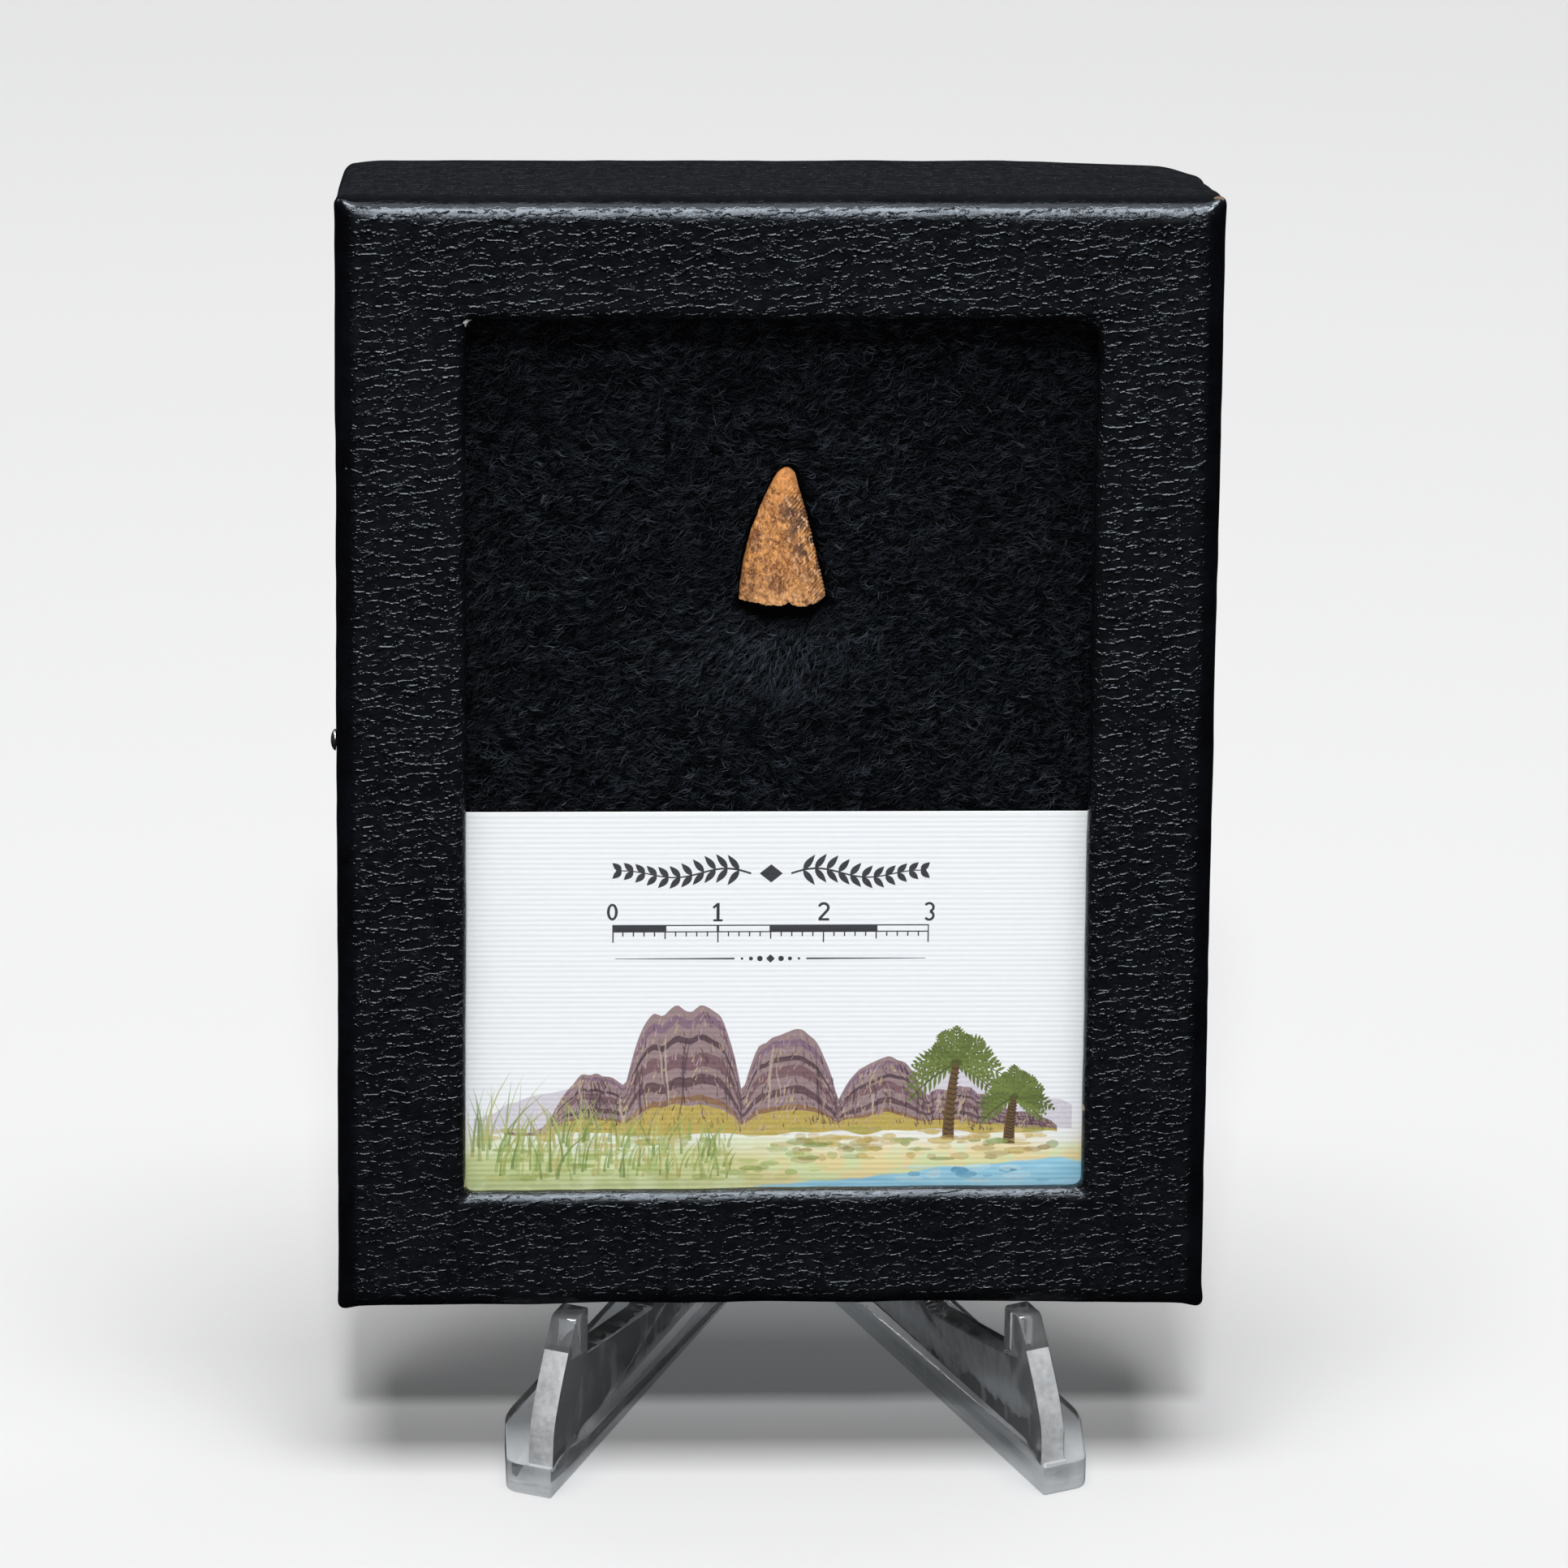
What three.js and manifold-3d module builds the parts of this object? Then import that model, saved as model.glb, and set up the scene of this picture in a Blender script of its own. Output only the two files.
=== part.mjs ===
// Small theropod tooth on black fibre in a leatherette display box, leaning on a clear two-leg easel.
// Millimetres, +Z up. The box faces -Y. The origin is under the middle of the whole object.
import * as THREE from 'three';
import { mergeVertices } from 'three/addons/utils/BufferGeometryUtils.js';
import Module from 'manifold-3d';

const wasm = await Module();
wasm.setup();

// Clearances
const GAP = 0.3;
const PIN_GAP = 0.1;
const OVERCUT = 1;

// Display box. Its own frame has x to the right, y from the front face to the back, z up from its foot.
const BOX_WIDTH = 82.55;
const BOX_HEIGHT = 107.95;
const BOX_DEPTH = 19.05;
const BOX_TILT = THREE.MathUtils.degToRad(7.1);
const BOX_SEAT = { y: 5.8, z: 17.12 };

// Lid
const LID_WALL = 1.5;
const FRONT_PANEL = 1.5;
const FRONT_EDGE_RADIUS = 2;
const SIDE_EDGE_RADIUS = 1;
const ROUND_STEPS = 4;
const WINDOW = { left: -29.15, right: 29.45, bottom: 11.75, top: 96.6, corner: 0.8, lip: 0.6 };

// Pane, card and tray
const PANE_THICKNESS = 0.7;
const CARD = { width: 75.6, top: 48.7, thickness: 0.3 };
const TRAY_WALL = 1.3;
const PAD_EDGE_RADIUS = 1.2;

// Tooth, tip up, its mid-plane parallel to the pane
const TOOTH = { x: 0.55, foot: 68.4, height: 13.4, thickness: 3.5 };
const TOOTH_AROUND = 24;
const DENTICLE_PITCH = 0.36;
const DENTICLE_HEIGHT = 0.13;
const TIP_LENGTH = 0.7;
const TIP_STEPS = 4;
const NEST_MARGIN = 0.6;

// Pins through the lid's sides
const PIN = { head: 1.05, dome: 0.5, shaft: 0.35, length: 12, sides: 14 };

// Easel: two plates in a V that is closed at the back. A leg's own frame has x along the plate from its
// front foot, z up, and its thickness on the outer side.
const EASEL_OFFSET = 2.5;
const V_HALF_ANGLE = THREE.MathUtils.degToRad(23.4);
const FOOT_SPAN = 23.6;
const PLATE = 2.5;
const LIP = { front: 0.3, back: 9.2, top: 16.35, round: 0.5 };
const LEDGE = { front: 11.25, back: 8.4 };
const REST_TOP = 62;
const REST_CAP = 4.6;
const SPINE_HEIGHT = 44;
const KNUCKLE_RADIUS = 3.2;
const KNUCKLE_CLEARANCE = 0.4;
const PIVOT = { radius: 1.2, length: 2 };
const FLANGE = { height: 3.1, front: 4.5, width: 8.6, shoulder: 9.2, taper: 6.5 };

const lidInner = { width: BOX_WIDTH - 2 * LID_WALL, height: BOX_HEIGHT - 2 * LID_WALL };
const trayOuter = { width: lidInner.width - 2 * GAP, height: lidInner.height - 2 * GAP };
const trayInner = { width: trayOuter.width - 2 * TRAY_WALL, height: trayOuter.height - 2 * TRAY_WALL };
const trayInnerFoot = LID_WALL + GAP + TRAY_WALL;
const paneFront = FRONT_PANEL + GAP;
const paneBack = paneFront + PANE_THICKNESS;
const cardFront = paneBack + GAP;
const padFront = cardFront + CARD.thickness + GAP;
const trayBack = BOX_DEPTH - GAP;
const toothMiddle = cardFront + TOOTH.thickness / 2;
const legAxis = (FOOT_SPAN + (PLATE / 2) * Math.cos(V_HALF_ANGLE)) / Math.sin(V_HALF_ANGLE);
const plateEnd = legAxis - KNUCKLE_RADIUS - KNUCKLE_CLEARANCE;

function solidOf(geometry) {
  const bare = geometry.clone();
  bare.deleteAttribute('normal');
  bare.deleteAttribute('uv');
  const merged = mergeVertices(bare, 1e-4);
  return new wasm.Manifold(new wasm.Mesh({
    numProp: 3,
    vertProperties: new Float32Array(merged.attributes.position.array),
    triVerts: new Uint32Array(merged.index.array),
  }));
}

function geometryOf(solid) {
  const { vertProperties, triVerts } = solid.getMesh();
  const geometry = new THREE.BufferGeometry();
  geometry.setAttribute('position', new THREE.BufferAttribute(vertProperties, 3));
  geometry.setIndex(new THREE.BufferAttribute(triVerts, 1));
  geometry.computeVertexNormals();
  return geometry;
}

// Closed body through rings of equal length, each end closed by a fan around its middle.
function loft(rings) {
  const count = rings[0].length;
  const last = (rings.length - 1) * count;
  const middles = [rings[0], rings.at(-1)].map((ring) => ring
    .reduce((sum, point) => sum.add(point), new THREE.Vector3())
    .divideScalar(count));
  const points = [...rings.flat(), ...middles];
  const startMiddle = points.length - 2;
  const endMiddle = points.length - 1;
  const index = [];
  for (let i = 0; i < count; i += 1) {
    const next = (i + 1) % count;
    for (let row = 0; row < last; row += count) {
      index.push(row + i, row + next, row + count + i);
      index.push(row + next, row + count + next, row + count + i);
    }
    index.push(startMiddle, next, i);
    index.push(endMiddle, last + i, last + next);
  }
  const geometry = new THREE.BufferGeometry().setFromPoints(points);
  geometry.setIndex(index);
  geometry.computeVertexNormals();
  return geometry;
}

// Rounded rectangle at depth y, listed so that a loft towards +y faces out.
function rectangleRing({ left, right, bottom, top, corner }, grow, y) {
  const corners = [
    [right + grow - corner, top + grow - corner, 0],
    [right + grow - corner, bottom - grow + corner, -Math.PI / 2],
    [left - grow + corner, bottom - grow + corner, -Math.PI],
    [left - grow + corner, top + grow - corner, -1.5 * Math.PI],
  ];
  return corners.flatMap(([x, z, start]) => {
    const ring = [];
    for (let step = 0; step <= ROUND_STEPS; step += 1) {
      const angle = start + (Math.PI / 2) * (1 - step / ROUND_STEPS);
      ring.push(new THREE.Vector3(x + corner * Math.cos(angle), y, z + corner * Math.sin(angle)));
    }
    return ring;
  });
}

// Quarter turn from a face at y = 0 to a wall: how far each step lies in from the wall, and how deep.
function quarterRound(radius) {
  return Array.from({ length: ROUND_STEPS + 1 }, (_, step) => {
    const angle = (Math.PI / 2) * (step / ROUND_STEPS);
    return { inset: radius * (1 - Math.sin(angle)), depth: radius * (1 - Math.cos(angle)) };
  });
}

function slab(width, height, foot, front, back) {
  const geometry = new THREE.BoxGeometry(width, back - front, height);
  geometry.translate(0, (front + back) / 2, foot + height / 2);
  return geometry;
}

function pinBore() {
  const length = 2 * (PIN.length + OVERCUT);
  const bore = new THREE.CylinderGeometry(PIN.shaft + GAP, PIN.shaft + GAP, length, PIN.sides);
  bore.rotateZ(Math.PI / 2);
  return bore;
}

function cutPinBores(solid) {
  return [-1, 1].reduce((rest, side) => {
    const bore = pinBore();
    bore.translate(side * BOX_WIDTH / 2, BOX_DEPTH / 2, BOX_HEIGHT / 2);
    return rest.subtract(solidOf(bore));
  }, solid);
}

function lid() {
  const outline = {
    left: -BOX_WIDTH / 2, right: BOX_WIDTH / 2, bottom: 0, top: BOX_HEIGHT, corner: SIDE_EDGE_RADIUS,
  };
  const shell = quarterRound(FRONT_EDGE_RADIUS)
    .map(({ inset, depth }) => rectangleRing(outline, -inset, depth));
  shell.push(rectangleRing(outline, 0, BOX_DEPTH));
  const opening = quarterRound(WINDOW.lip)
    .map(({ inset, depth }) => rectangleRing(WINDOW, inset, depth));
  opening.unshift(rectangleRing(WINDOW, WINDOW.lip, -OVERCUT));
  opening.push(rectangleRing(WINDOW, 0, FRONT_PANEL + OVERCUT));
  const hollow = slab(lidInner.width, lidInner.height, LID_WALL, FRONT_PANEL, BOX_DEPTH + OVERCUT);
  const body = solidOf(loft(shell)).subtract(solidOf(hollow)).subtract(solidOf(loft(opening)));
  return geometryOf(cutPinBores(body));
}

function windowPane() {
  return slab(trayOuter.width, trayOuter.height, LID_WALL + GAP, paneFront, paneBack);
}

function card() {
  const foot = trayInnerFoot + GAP;
  return slab(CARD.width, CARD.top - foot, foot, cardFront, cardFront + CARD.thickness);
}

function baseTray() {
  const outside = slab(trayOuter.width, trayOuter.height, LID_WALL + GAP, cardFront, trayBack);
  const inside = slab(
    trayInner.width, trayInner.height, trayInnerFoot, cardFront - OVERCUT, trayBack - TRAY_WALL);
  return geometryOf(cutPinBores(solidOf(outside).subtract(solidOf(inside))));
}

// How far the tooth reaches to its convex front edge and to its straighter serrated edge, and how thick
// it is, at a share of its height.
function toothReach(share) {
  return {
    front: 4.1 * (1 - 0.93 * share ** 2),
    serrated: 4.32 - 3.38 * share + 0.6 * share * (1 - share),
    thickness: TOOTH.thickness * (1 - 0.72 * share),
  };
}

// Broken lower edge of the crown: a shallow arc with one notch, rougher away from the middle.
function toothBreak(x, y) {
  const notch = 0.35 * Math.exp(-(((x - 0.65) / 0.4) ** 2));
  const chips = 0.12 * Math.sin(5.1 * x + 2 * y) * Math.cos(2.3 * y);
  return 0.048 * x ** 2 + notch + chips;
}

function toothRing(height, shrink, bite, lift) {
  const { front, serrated, thickness } = toothReach(height / TOOTH.height);
  const centre = (serrated - front) / 2;
  const half = (serrated + front) / 2;
  const ring = [];
  for (let i = 0; i < TOOTH_AROUND; i += 1) {
    const angle = (2 * Math.PI * i) / TOOTH_AROUND;
    const across = Math.cos(angle);
    const out = Math.sign(Math.sin(angle)) * Math.abs(Math.sin(angle)) ** 1.5;
    const x = centre + shrink * half * across - (i === 0 ? bite : 0);
    const y = shrink * (thickness / 2) * out;
    ring.push(new THREE.Vector3(x, y, height + lift * toothBreak(x, y)));
  }
  return ring;
}

// Crown lofted from its broken base to its tip, with a denticle on every other ring.
function toothCrown() {
  const bladeLength = TOOTH.height - TIP_LENGTH;
  const rows = 2 * Math.round(bladeLength / DENTICLE_PITCH);
  const rings = [];
  for (let row = 0; row <= rows; row += 1) {
    const height = (bladeLength * row) / rows;
    const lift = Math.max(0, 1 - row / 4);
    rings.push(toothRing(height, 1, row % 2 ? DENTICLE_HEIGHT : 0, lift));
  }
  for (let step = 1; step <= TIP_STEPS; step += 1) {
    const share = step / (TIP_STEPS + 0.4);
    rings.push(toothRing(bladeLength + TIP_LENGTH * share, Math.sqrt(1 - share ** 2), 0, 0));
  }
  return loft(rings);
}

// Well in the fibre that the tooth lies in.
function toothNest() {
  const sides = { front: [], serrated: [] };
  for (let step = 0; step <= 6; step += 1) {
    const share = step / 6;
    const z = TOOTH.foot - 2 * NEST_MARGIN + (TOOTH.height + 3 * NEST_MARGIN) * share;
    const { front, serrated } = toothReach(share);
    sides.front.unshift(new THREE.Vector2(TOOTH.x - front - NEST_MARGIN, z));
    sides.serrated.push(new THREE.Vector2(TOOTH.x + serrated + NEST_MARGIN, z));
  }
  const depth = TOOTH.thickness + OVERCUT + NEST_MARGIN;
  const outline = new THREE.Shape([...sides.serrated, ...sides.front]);
  const well = new THREE.ExtrudeGeometry(outline, { depth, bevelEnabled: false });
  well.rotateX(Math.PI / 2);
  well.translate(0, cardFront - OVERCUT + depth, 0);
  return well;
}

function fibrePad() {
  const outline = {
    left: GAP - trayInner.width / 2,
    right: trayInner.width / 2 - GAP,
    bottom: trayInnerFoot + GAP,
    top: trayInnerFoot + trayInner.height - GAP,
    corner: PAD_EDGE_RADIUS,
  };
  const rings = quarterRound(PAD_EDGE_RADIUS)
    .map(({ inset, depth }) => rectangleRing(outline, -inset, padFront + depth));
  rings.push(rectangleRing(outline, 0, trayBack - TRAY_WALL - GAP));
  return geometryOf(cutPinBores(solidOf(loft(rings)).subtract(solidOf(toothNest()))));
}

// Domed head outside, shaft through the lid's wall into the tray, turned about its own axis.
function pin() {
  const dome = new THREE.EllipseCurve(0, 0, PIN.head, PIN.dome, 0, Math.PI / 2);
  const profile = [
    new THREE.Vector2(0, -PIN.length),
    new THREE.Vector2(PIN.shaft, -PIN.length + 3 * PIN.shaft),
    new THREE.Vector2(PIN.shaft, 0),
    ...dome.getPoints(3),
  ];
  profile.at(-1).x = 0;
  const geometry = new THREE.LatheGeometry(profile, PIN.sides);
  geometry.rotateZ(-Math.PI / 2);
  geometry.translate(BOX_WIDTH / 2 + PIN_GAP, 0, 0);
  return geometry;
}

// Where the box's back crosses a height above the table, along the inner side of a plate.
function restAlong(z) {
  const climb = z - BOX_SEAT.z + BOX_DEPTH * Math.sin(BOX_TILT);
  const back = BOX_SEAT.y + BOX_DEPTH * Math.cos(BOX_TILT) + climb * Math.tan(BOX_TILT);
  return (back + GAP / Math.cos(BOX_TILT)) / Math.cos(V_HALF_ANGLE);
}

// Side view of a plate: foot, leaning front edge, lip, ledge, back rest and spine.
function plateOutline() {
  const restFoot = restAlong(LEDGE.back);
  const restHead = restAlong(REST_TOP);
  const outline = new THREE.Shape();
  outline.moveTo(LIP.front, 0);
  outline.lineTo(LIP.front + 0.4, 6);
  outline.quadraticCurveTo(LIP.front + 0.5, 8.4, 5.9, LIP.top - LIP.round);
  outline.quadraticCurveTo(6.2, LIP.top, 6.8, LIP.top);
  outline.lineTo(LIP.back - LIP.round, LIP.top);
  outline.quadraticCurveTo(LIP.back, LIP.top, LIP.back, LIP.top - LIP.round);
  outline.lineTo(LIP.back, LEDGE.front);
  outline.lineTo(restFoot - 1, LEDGE.back + 0.1);
  outline.quadraticCurveTo(restFoot, LEDGE.back, restAlong(LEDGE.back + 1), LEDGE.back + 1);
  outline.lineTo(restAlong(REST_TOP - 2), REST_TOP - 2);
  outline.quadraticCurveTo(restHead, REST_TOP, restHead + 2, REST_TOP);
  outline.quadraticCurveTo(restHead + REST_CAP, REST_TOP, restHead + REST_CAP + 1.5, REST_TOP - 2);
  outline.lineTo(plateEnd - 2, SPINE_HEIGHT + 1);
  outline.quadraticCurveTo(plateEnd, SPINE_HEIGHT, plateEnd, SPINE_HEIGHT - 2);
  outline.lineTo(plateEnd, 0);
  outline.closePath();
  return outline;
}

function plate(side) {
  const geometry = new THREE.ExtrudeGeometry(
    plateOutline(), { depth: PLATE, bevelEnabled: false, curveSegments: 6 });
  geometry.rotateX(Math.PI / 2);
  geometry.translate(0, side < 0 ? PLATE : 0, 0);
  return solidOf(geometry);
}

// Foot seen from above: it widens to its shoulder, runs along the plate and closes in at the spine.
function flange(side) {
  const outward = -side;
  const outline = new THREE.Shape();
  outline.moveTo(0, 0);
  outline.lineTo(0, outward * (FLANGE.front - 1));
  outline.quadraticCurveTo(0, outward * FLANGE.front, 1, outward * (FLANGE.front + 0.5));
  outline.lineTo(FLANGE.shoulder - 1.4, outward * (FLANGE.width - 0.6));
  outline.quadraticCurveTo(
    FLANGE.shoulder, outward * FLANGE.width, FLANGE.shoulder + 2, outward * FLANGE.width);
  outline.lineTo(plateEnd - FLANGE.taper, outward * FLANGE.width);
  outline.lineTo(plateEnd, outward * PLATE);
  outline.lineTo(plateEnd, 0);
  outline.closePath();
  return solidOf(new THREE.ExtrudeGeometry(
    outline, { depth: FLANGE.height, bevelEnabled: false, curveSegments: 4 }));
}

function upright(radius, side, low, high) {
  const geometry = new THREE.CylinderGeometry(radius, radius, high - low, 24);
  geometry.rotateX(Math.PI / 2);
  geometry.translate(legAxis, (-side * PLATE) / 2, (low + high) / 2);
  return solidOf(geometry);
}

function knuckle(side, low, high) {
  const reach = legAxis - plateEnd + OVERCUT;
  const web = new THREE.BoxGeometry(reach, PLATE, high - low);
  web.translate(legAxis - reach / 2, (-side * PLATE) / 2, (low + high) / 2);
  return upright(KNUCKLE_RADIUS, side, low, high).add(solidOf(web));
}

// The left leg carries the lower and upper knuckles with their pivots, the right leg the middle one.
function leg(side) {
  const third = SPINE_HEIGHT / 3;
  const lower = third - GAP / 2;
  const upper = 2 * third + GAP / 2;
  const body = plate(side).add(flange(side));
  if (side < 0) {
    return geometryOf(body
      .add(knuckle(side, 0, lower))
      .add(knuckle(side, upper, SPINE_HEIGHT))
      .add(upright(PIVOT.radius, side, lower - OVERCUT, lower + PIVOT.length))
      .add(upright(PIVOT.radius, side, upper - PIVOT.length, upper + OVERCUT)));
  }
  const socket = PIVOT.radius + GAP;
  const depth = PIVOT.length + GAP;
  return geometryOf(body
    .add(knuckle(side, lower + GAP, upper - GAP))
    .subtract(upright(socket, side, lower, lower + depth))
    .subtract(upright(socket, side, upper - depth, upper)));
}

function piece(name, geometry, finish) {
  const mesh = new THREE.Mesh(geometry, new THREE.MeshStandardMaterial(finish));
  mesh.name = name;
  return mesh;
}

const leatherette = { color: 0x1b1d22, roughness: 0.42, metalness: 0 };
const blackPaper = { color: 0x141414, roughness: 0.85, metalness: 0 };
const fibre = { color: 0x101215, roughness: 1, metalness: 0 };
const whiteCard = { color: 0xeef0f3, roughness: 0.75, metalness: 0 };
const enamel = { color: 0xb9793f, roughness: 0.45, metalness: 0 };
const clearPane = { color: 0xf4f8fa, roughness: 0.04, metalness: 0, transparent: true, opacity: 0.15 };
const clearPlastic = { color: 0xeef2f4, roughness: 0.12, metalness: 0, transparent: true, opacity: 0.35 };
const pinSteel = { color: 0xd8d9da, roughness: 0.2, metalness: 1 };

function displayBox() {
  const box = new THREE.Group();
  box.position.set(0, BOX_SEAT.y, BOX_SEAT.z);
  box.rotation.x = -BOX_TILT;
  const tooth = piece('tooth', toothCrown(), enamel);
  tooth.position.set(TOOTH.x, toothMiddle, TOOTH.foot);
  box.add(
    piece('lid', lid(), leatherette),
    piece('window_pane', windowPane(), clearPane),
    piece('card', card(), whiteCard),
    piece('fibre_pad', fibrePad(), fibre),
    piece('base_tray', baseTray(), blackPaper),
    tooth,
  );
  for (const [name, turn] of [['pin_right', 0], ['pin_left', Math.PI]]) {
    const fastener = piece(name, pin(), pinSteel);
    fastener.position.set(0, BOX_DEPTH / 2, BOX_HEIGHT / 2);
    fastener.rotation.z = turn;
    box.add(fastener);
  }
  return box;
}

function easel() {
  const stand = new THREE.Group();
  stand.position.x = EASEL_OFFSET;
  for (const [name, side] of [['easel_leg_left', -1], ['easel_leg_right', 1]]) {
    const plateLeg = piece(name, leg(side), clearPlastic);
    plateLeg.position.x = side * FOOT_SPAN;
    plateLeg.rotation.z = Math.PI / 2 + side * V_HALF_ANGLE;
    stand.add(plateLeg);
  }
  return stand;
}

const mountedTooth = new THREE.Group();
mountedTooth.add(displayBox(), easel());
const extent = new THREE.Box3().setFromObject(mountedTooth, true);
mountedTooth.position.set(
  -(extent.min.x + extent.max.x) / 2, -(extent.min.y + extent.max.y) / 2, -extent.min.z);

export default mountedTooth;
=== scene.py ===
import math

import bmesh
import bpy
import numpy as np
from mathutils import Matrix, Vector, geometry


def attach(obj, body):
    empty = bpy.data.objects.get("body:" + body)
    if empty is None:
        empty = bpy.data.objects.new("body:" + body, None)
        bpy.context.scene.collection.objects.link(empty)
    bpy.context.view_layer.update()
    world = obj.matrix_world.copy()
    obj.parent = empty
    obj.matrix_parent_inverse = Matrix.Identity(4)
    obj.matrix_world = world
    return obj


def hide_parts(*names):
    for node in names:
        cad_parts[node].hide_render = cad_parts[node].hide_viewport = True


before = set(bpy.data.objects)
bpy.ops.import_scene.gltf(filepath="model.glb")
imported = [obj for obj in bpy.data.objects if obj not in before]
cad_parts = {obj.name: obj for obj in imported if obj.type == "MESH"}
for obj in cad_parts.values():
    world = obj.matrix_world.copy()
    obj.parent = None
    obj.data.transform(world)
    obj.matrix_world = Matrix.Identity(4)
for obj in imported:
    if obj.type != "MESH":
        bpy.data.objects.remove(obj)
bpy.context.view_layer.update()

# Sizes in millimetres, most of them the same as in the part's source. In the box's own frame
# x runs to the right, d from the front face to the back, and h up from the foot.
MM = 0.001
BOX_WIDTH, BOX_HEIGHT, BOX_DEPTH = 82.55, 107.95, 19.05
BOX_TILT = math.radians(7.1)
BOX_FOOT = Vector((0.0, -24.631, 17.12)) * MM
BOX_PLACE = Matrix.Translation(BOX_FOOT) @ Matrix.Rotation(-BOX_TILT, 4, "X")

WINDOW = {"left": -29.15, "right": 29.45, "bottom": 11.75, "top": 96.6}
WINDOW_WIDTH, WINDOW_CORNER = WINDOW["right"] - WINDOW["left"], 0.8
PANEL, LID_WALL = 1.5, 1.5
FRONT_ROUND, PLAN_CORNER = 2.0, 1.0

# The covering rounds the window's edge and the back edge more than the plain solid does.
LIP = 1.05
BACK_ROUND, BACK_BEVEL = 0.25, 0.07

CARD_FRONT, CARD_BACK = 2.8, 3.1
CARD_HALF_WIDTH, CARD_FOOT, CARD_TOP = 37.8, 3.4, 48.7

# Depths of the fleece: the highest strands, the matted bed under them, and the back.
FLEECE_TIPS, FLEECE_BED, FLEECE_BACK = 3.45, 4.5, 17.15
FLEECE_SIDE, FLEECE_FOOT, FLEECE_TOP = 37.87, 3.4, 104.55

TOOTH_X, TOOTH_FOOT, TOOTH_MIDDLE = 0.55, 68.4, 4.55
TOOTH_HEIGHT, TOOTH_THICKNESS = 13.4, 3.5
TIP_LENGTH = 0.7
DENTICLE_PITCH, DENTICLE_HEIGHT = 0.36, 0.13

PIN_HEAD, PIN_DOME, PIN_SHAFT, PIN_LENGTH, PIN_STANDOFF = 1.05, 0.5, 0.35, 12.0, 0.1

EASEL_OFFSET = 2.5
V_HALF_ANGLE = math.radians(23.4)
FOOT_SPAN = 23.6
EASEL_FRONT = -30.431

# The frosted edge of each leg: its levels, how far back it goes, and which way it must face.
FROST_FOOT, FROST_TOP, FROST_REACH, FROST_FACING = 3.3, 13.7, 6.5, -0.45


# ---------------------------------------------------------------- shaping helpers

def soft_noise(points, size, seed):
    """Smooth values from -1 to 1 at points in millimetres, with swells about size wide."""
    table = np.random.default_rng(seed).random((32, 32, 32))
    cell = np.asarray(points, float) / size
    low = np.floor(cell).astype(int)
    share = cell - low
    share = share * share * (3 - 2 * share)
    total = np.zeros(cell.shape[:-1])
    for corner in np.ndindex(2, 2, 2):
        at = (low + corner) % 32
        weight = np.prod(np.where(corner, share, 1 - share), axis=-1)
        total += table[at[..., 0], at[..., 1], at[..., 2]] * weight
    return 2 * total - 1


def grid_faces(rows, columns, round_rows=False, round_columns=False):
    """Quads over a grid of points stored row by row."""
    row = np.arange(rows if round_rows else rows - 1)[:, None]
    column = np.arange(columns if round_columns else columns - 1)[None, :]
    next_row, next_column = (row + 1) % rows, (column + 1) % columns
    quads = [row * columns + column, next_row * columns + column,
             next_row * columns + next_column, row * columns + next_column]
    return np.stack(np.broadcast_arrays(*quads), axis=-1).reshape(-1, 4)


def stacked(*values):
    """Points from their coordinates."""
    return np.stack(values, axis=-1)


def rectangle(left, right, bottom, top):
    return [(left, bottom), (right, bottom), (right, top), (left, top)]


def oval(x, y, wide, tall, angle):
    """Points at the given angles on an oval around (x, y)."""
    return np.column_stack((x + wide * np.cos(angle), y + tall * np.sin(angle)))


def link(name, data):
    """A new object for the data, put in the scene."""
    item = bpy.data.objects.new(name, data)
    bpy.context.scene.collection.objects.link(item)
    return item


def link_smooth(name, mesh, finishes):
    """A linked object for the mesh, with smooth faces and its finishes."""
    mesh.polygons.foreach_set("use_smooth", np.ones(len(mesh.polygons), bool))
    for finish in finishes:
        mesh.materials.append(finish)
    return link(name, mesh)


def make_piece(name, points, faces, finishes, place=BOX_PLACE):
    """A smooth mesh from points in millimetres, riding on the part's one body."""
    mesh = bpy.data.meshes.new(name)
    corners = (np.asarray(points, float) * MM).tolist()
    mesh.from_pydata(corners, [], [list(map(int, face)) for face in faces])
    piece = link_smooth(name, mesh, finishes)
    piece.matrix_world = place
    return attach(piece, "root")


def face_outward(piece):
    """Turns every face of a closed mesh to look out."""
    body = bmesh.new()
    body.from_mesh(piece.data)
    bmesh.ops.recalc_face_normals(body, faces=body.faces)
    body.to_mesh(piece.data)
    body.free()


def hump(distance, radius):
    """Smooth bump, 1 at no distance and 0.37 at the radius."""
    return np.exp(-((distance / radius) ** 2))


def ramp(value, start, run):
    """Rises from 0 to 1 over a run that begins at start."""
    return np.clip((value - start) / run, 0, 1)


def write_attribute(mesh, name, kind, domain, key, values):
    """Stores values on a mesh for its finish to read."""
    stored = mesh.attributes.new(name, kind, domain)
    stored.data.foreach_set(key, np.asarray(values, np.float32).ravel())


# ---------------------------------------------------------------- finishing helpers

def shade(red, green, blue):
    """Linear colour of an ordinary 0 to 255 screen colour."""
    def linear(value):
        value /= 255
        return value / 12.92 if value <= 0.04045 else ((value + 0.055) / 1.055) ** 2.4
    return (linear(red), linear(green), linear(blue), 1.0)


def add(tree, kind, values=None, **settings):
    """A node with its settings, and its inputs linked to sockets or set to plain values."""
    node = tree.nodes.new(kind)
    for key, value in settings.items():
        setattr(node, key, value)
    for key, value in (values or {}).items():
        if isinstance(value, bpy.types.NodeSocket):
            tree.links.new(value, node.inputs[key])
        else:
            node.inputs[key].default_value = value
    return node


def maths(tree, operation, *values):
    return add(tree, "ShaderNodeMath", dict(enumerate(values)), operation=operation).outputs[0]


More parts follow.
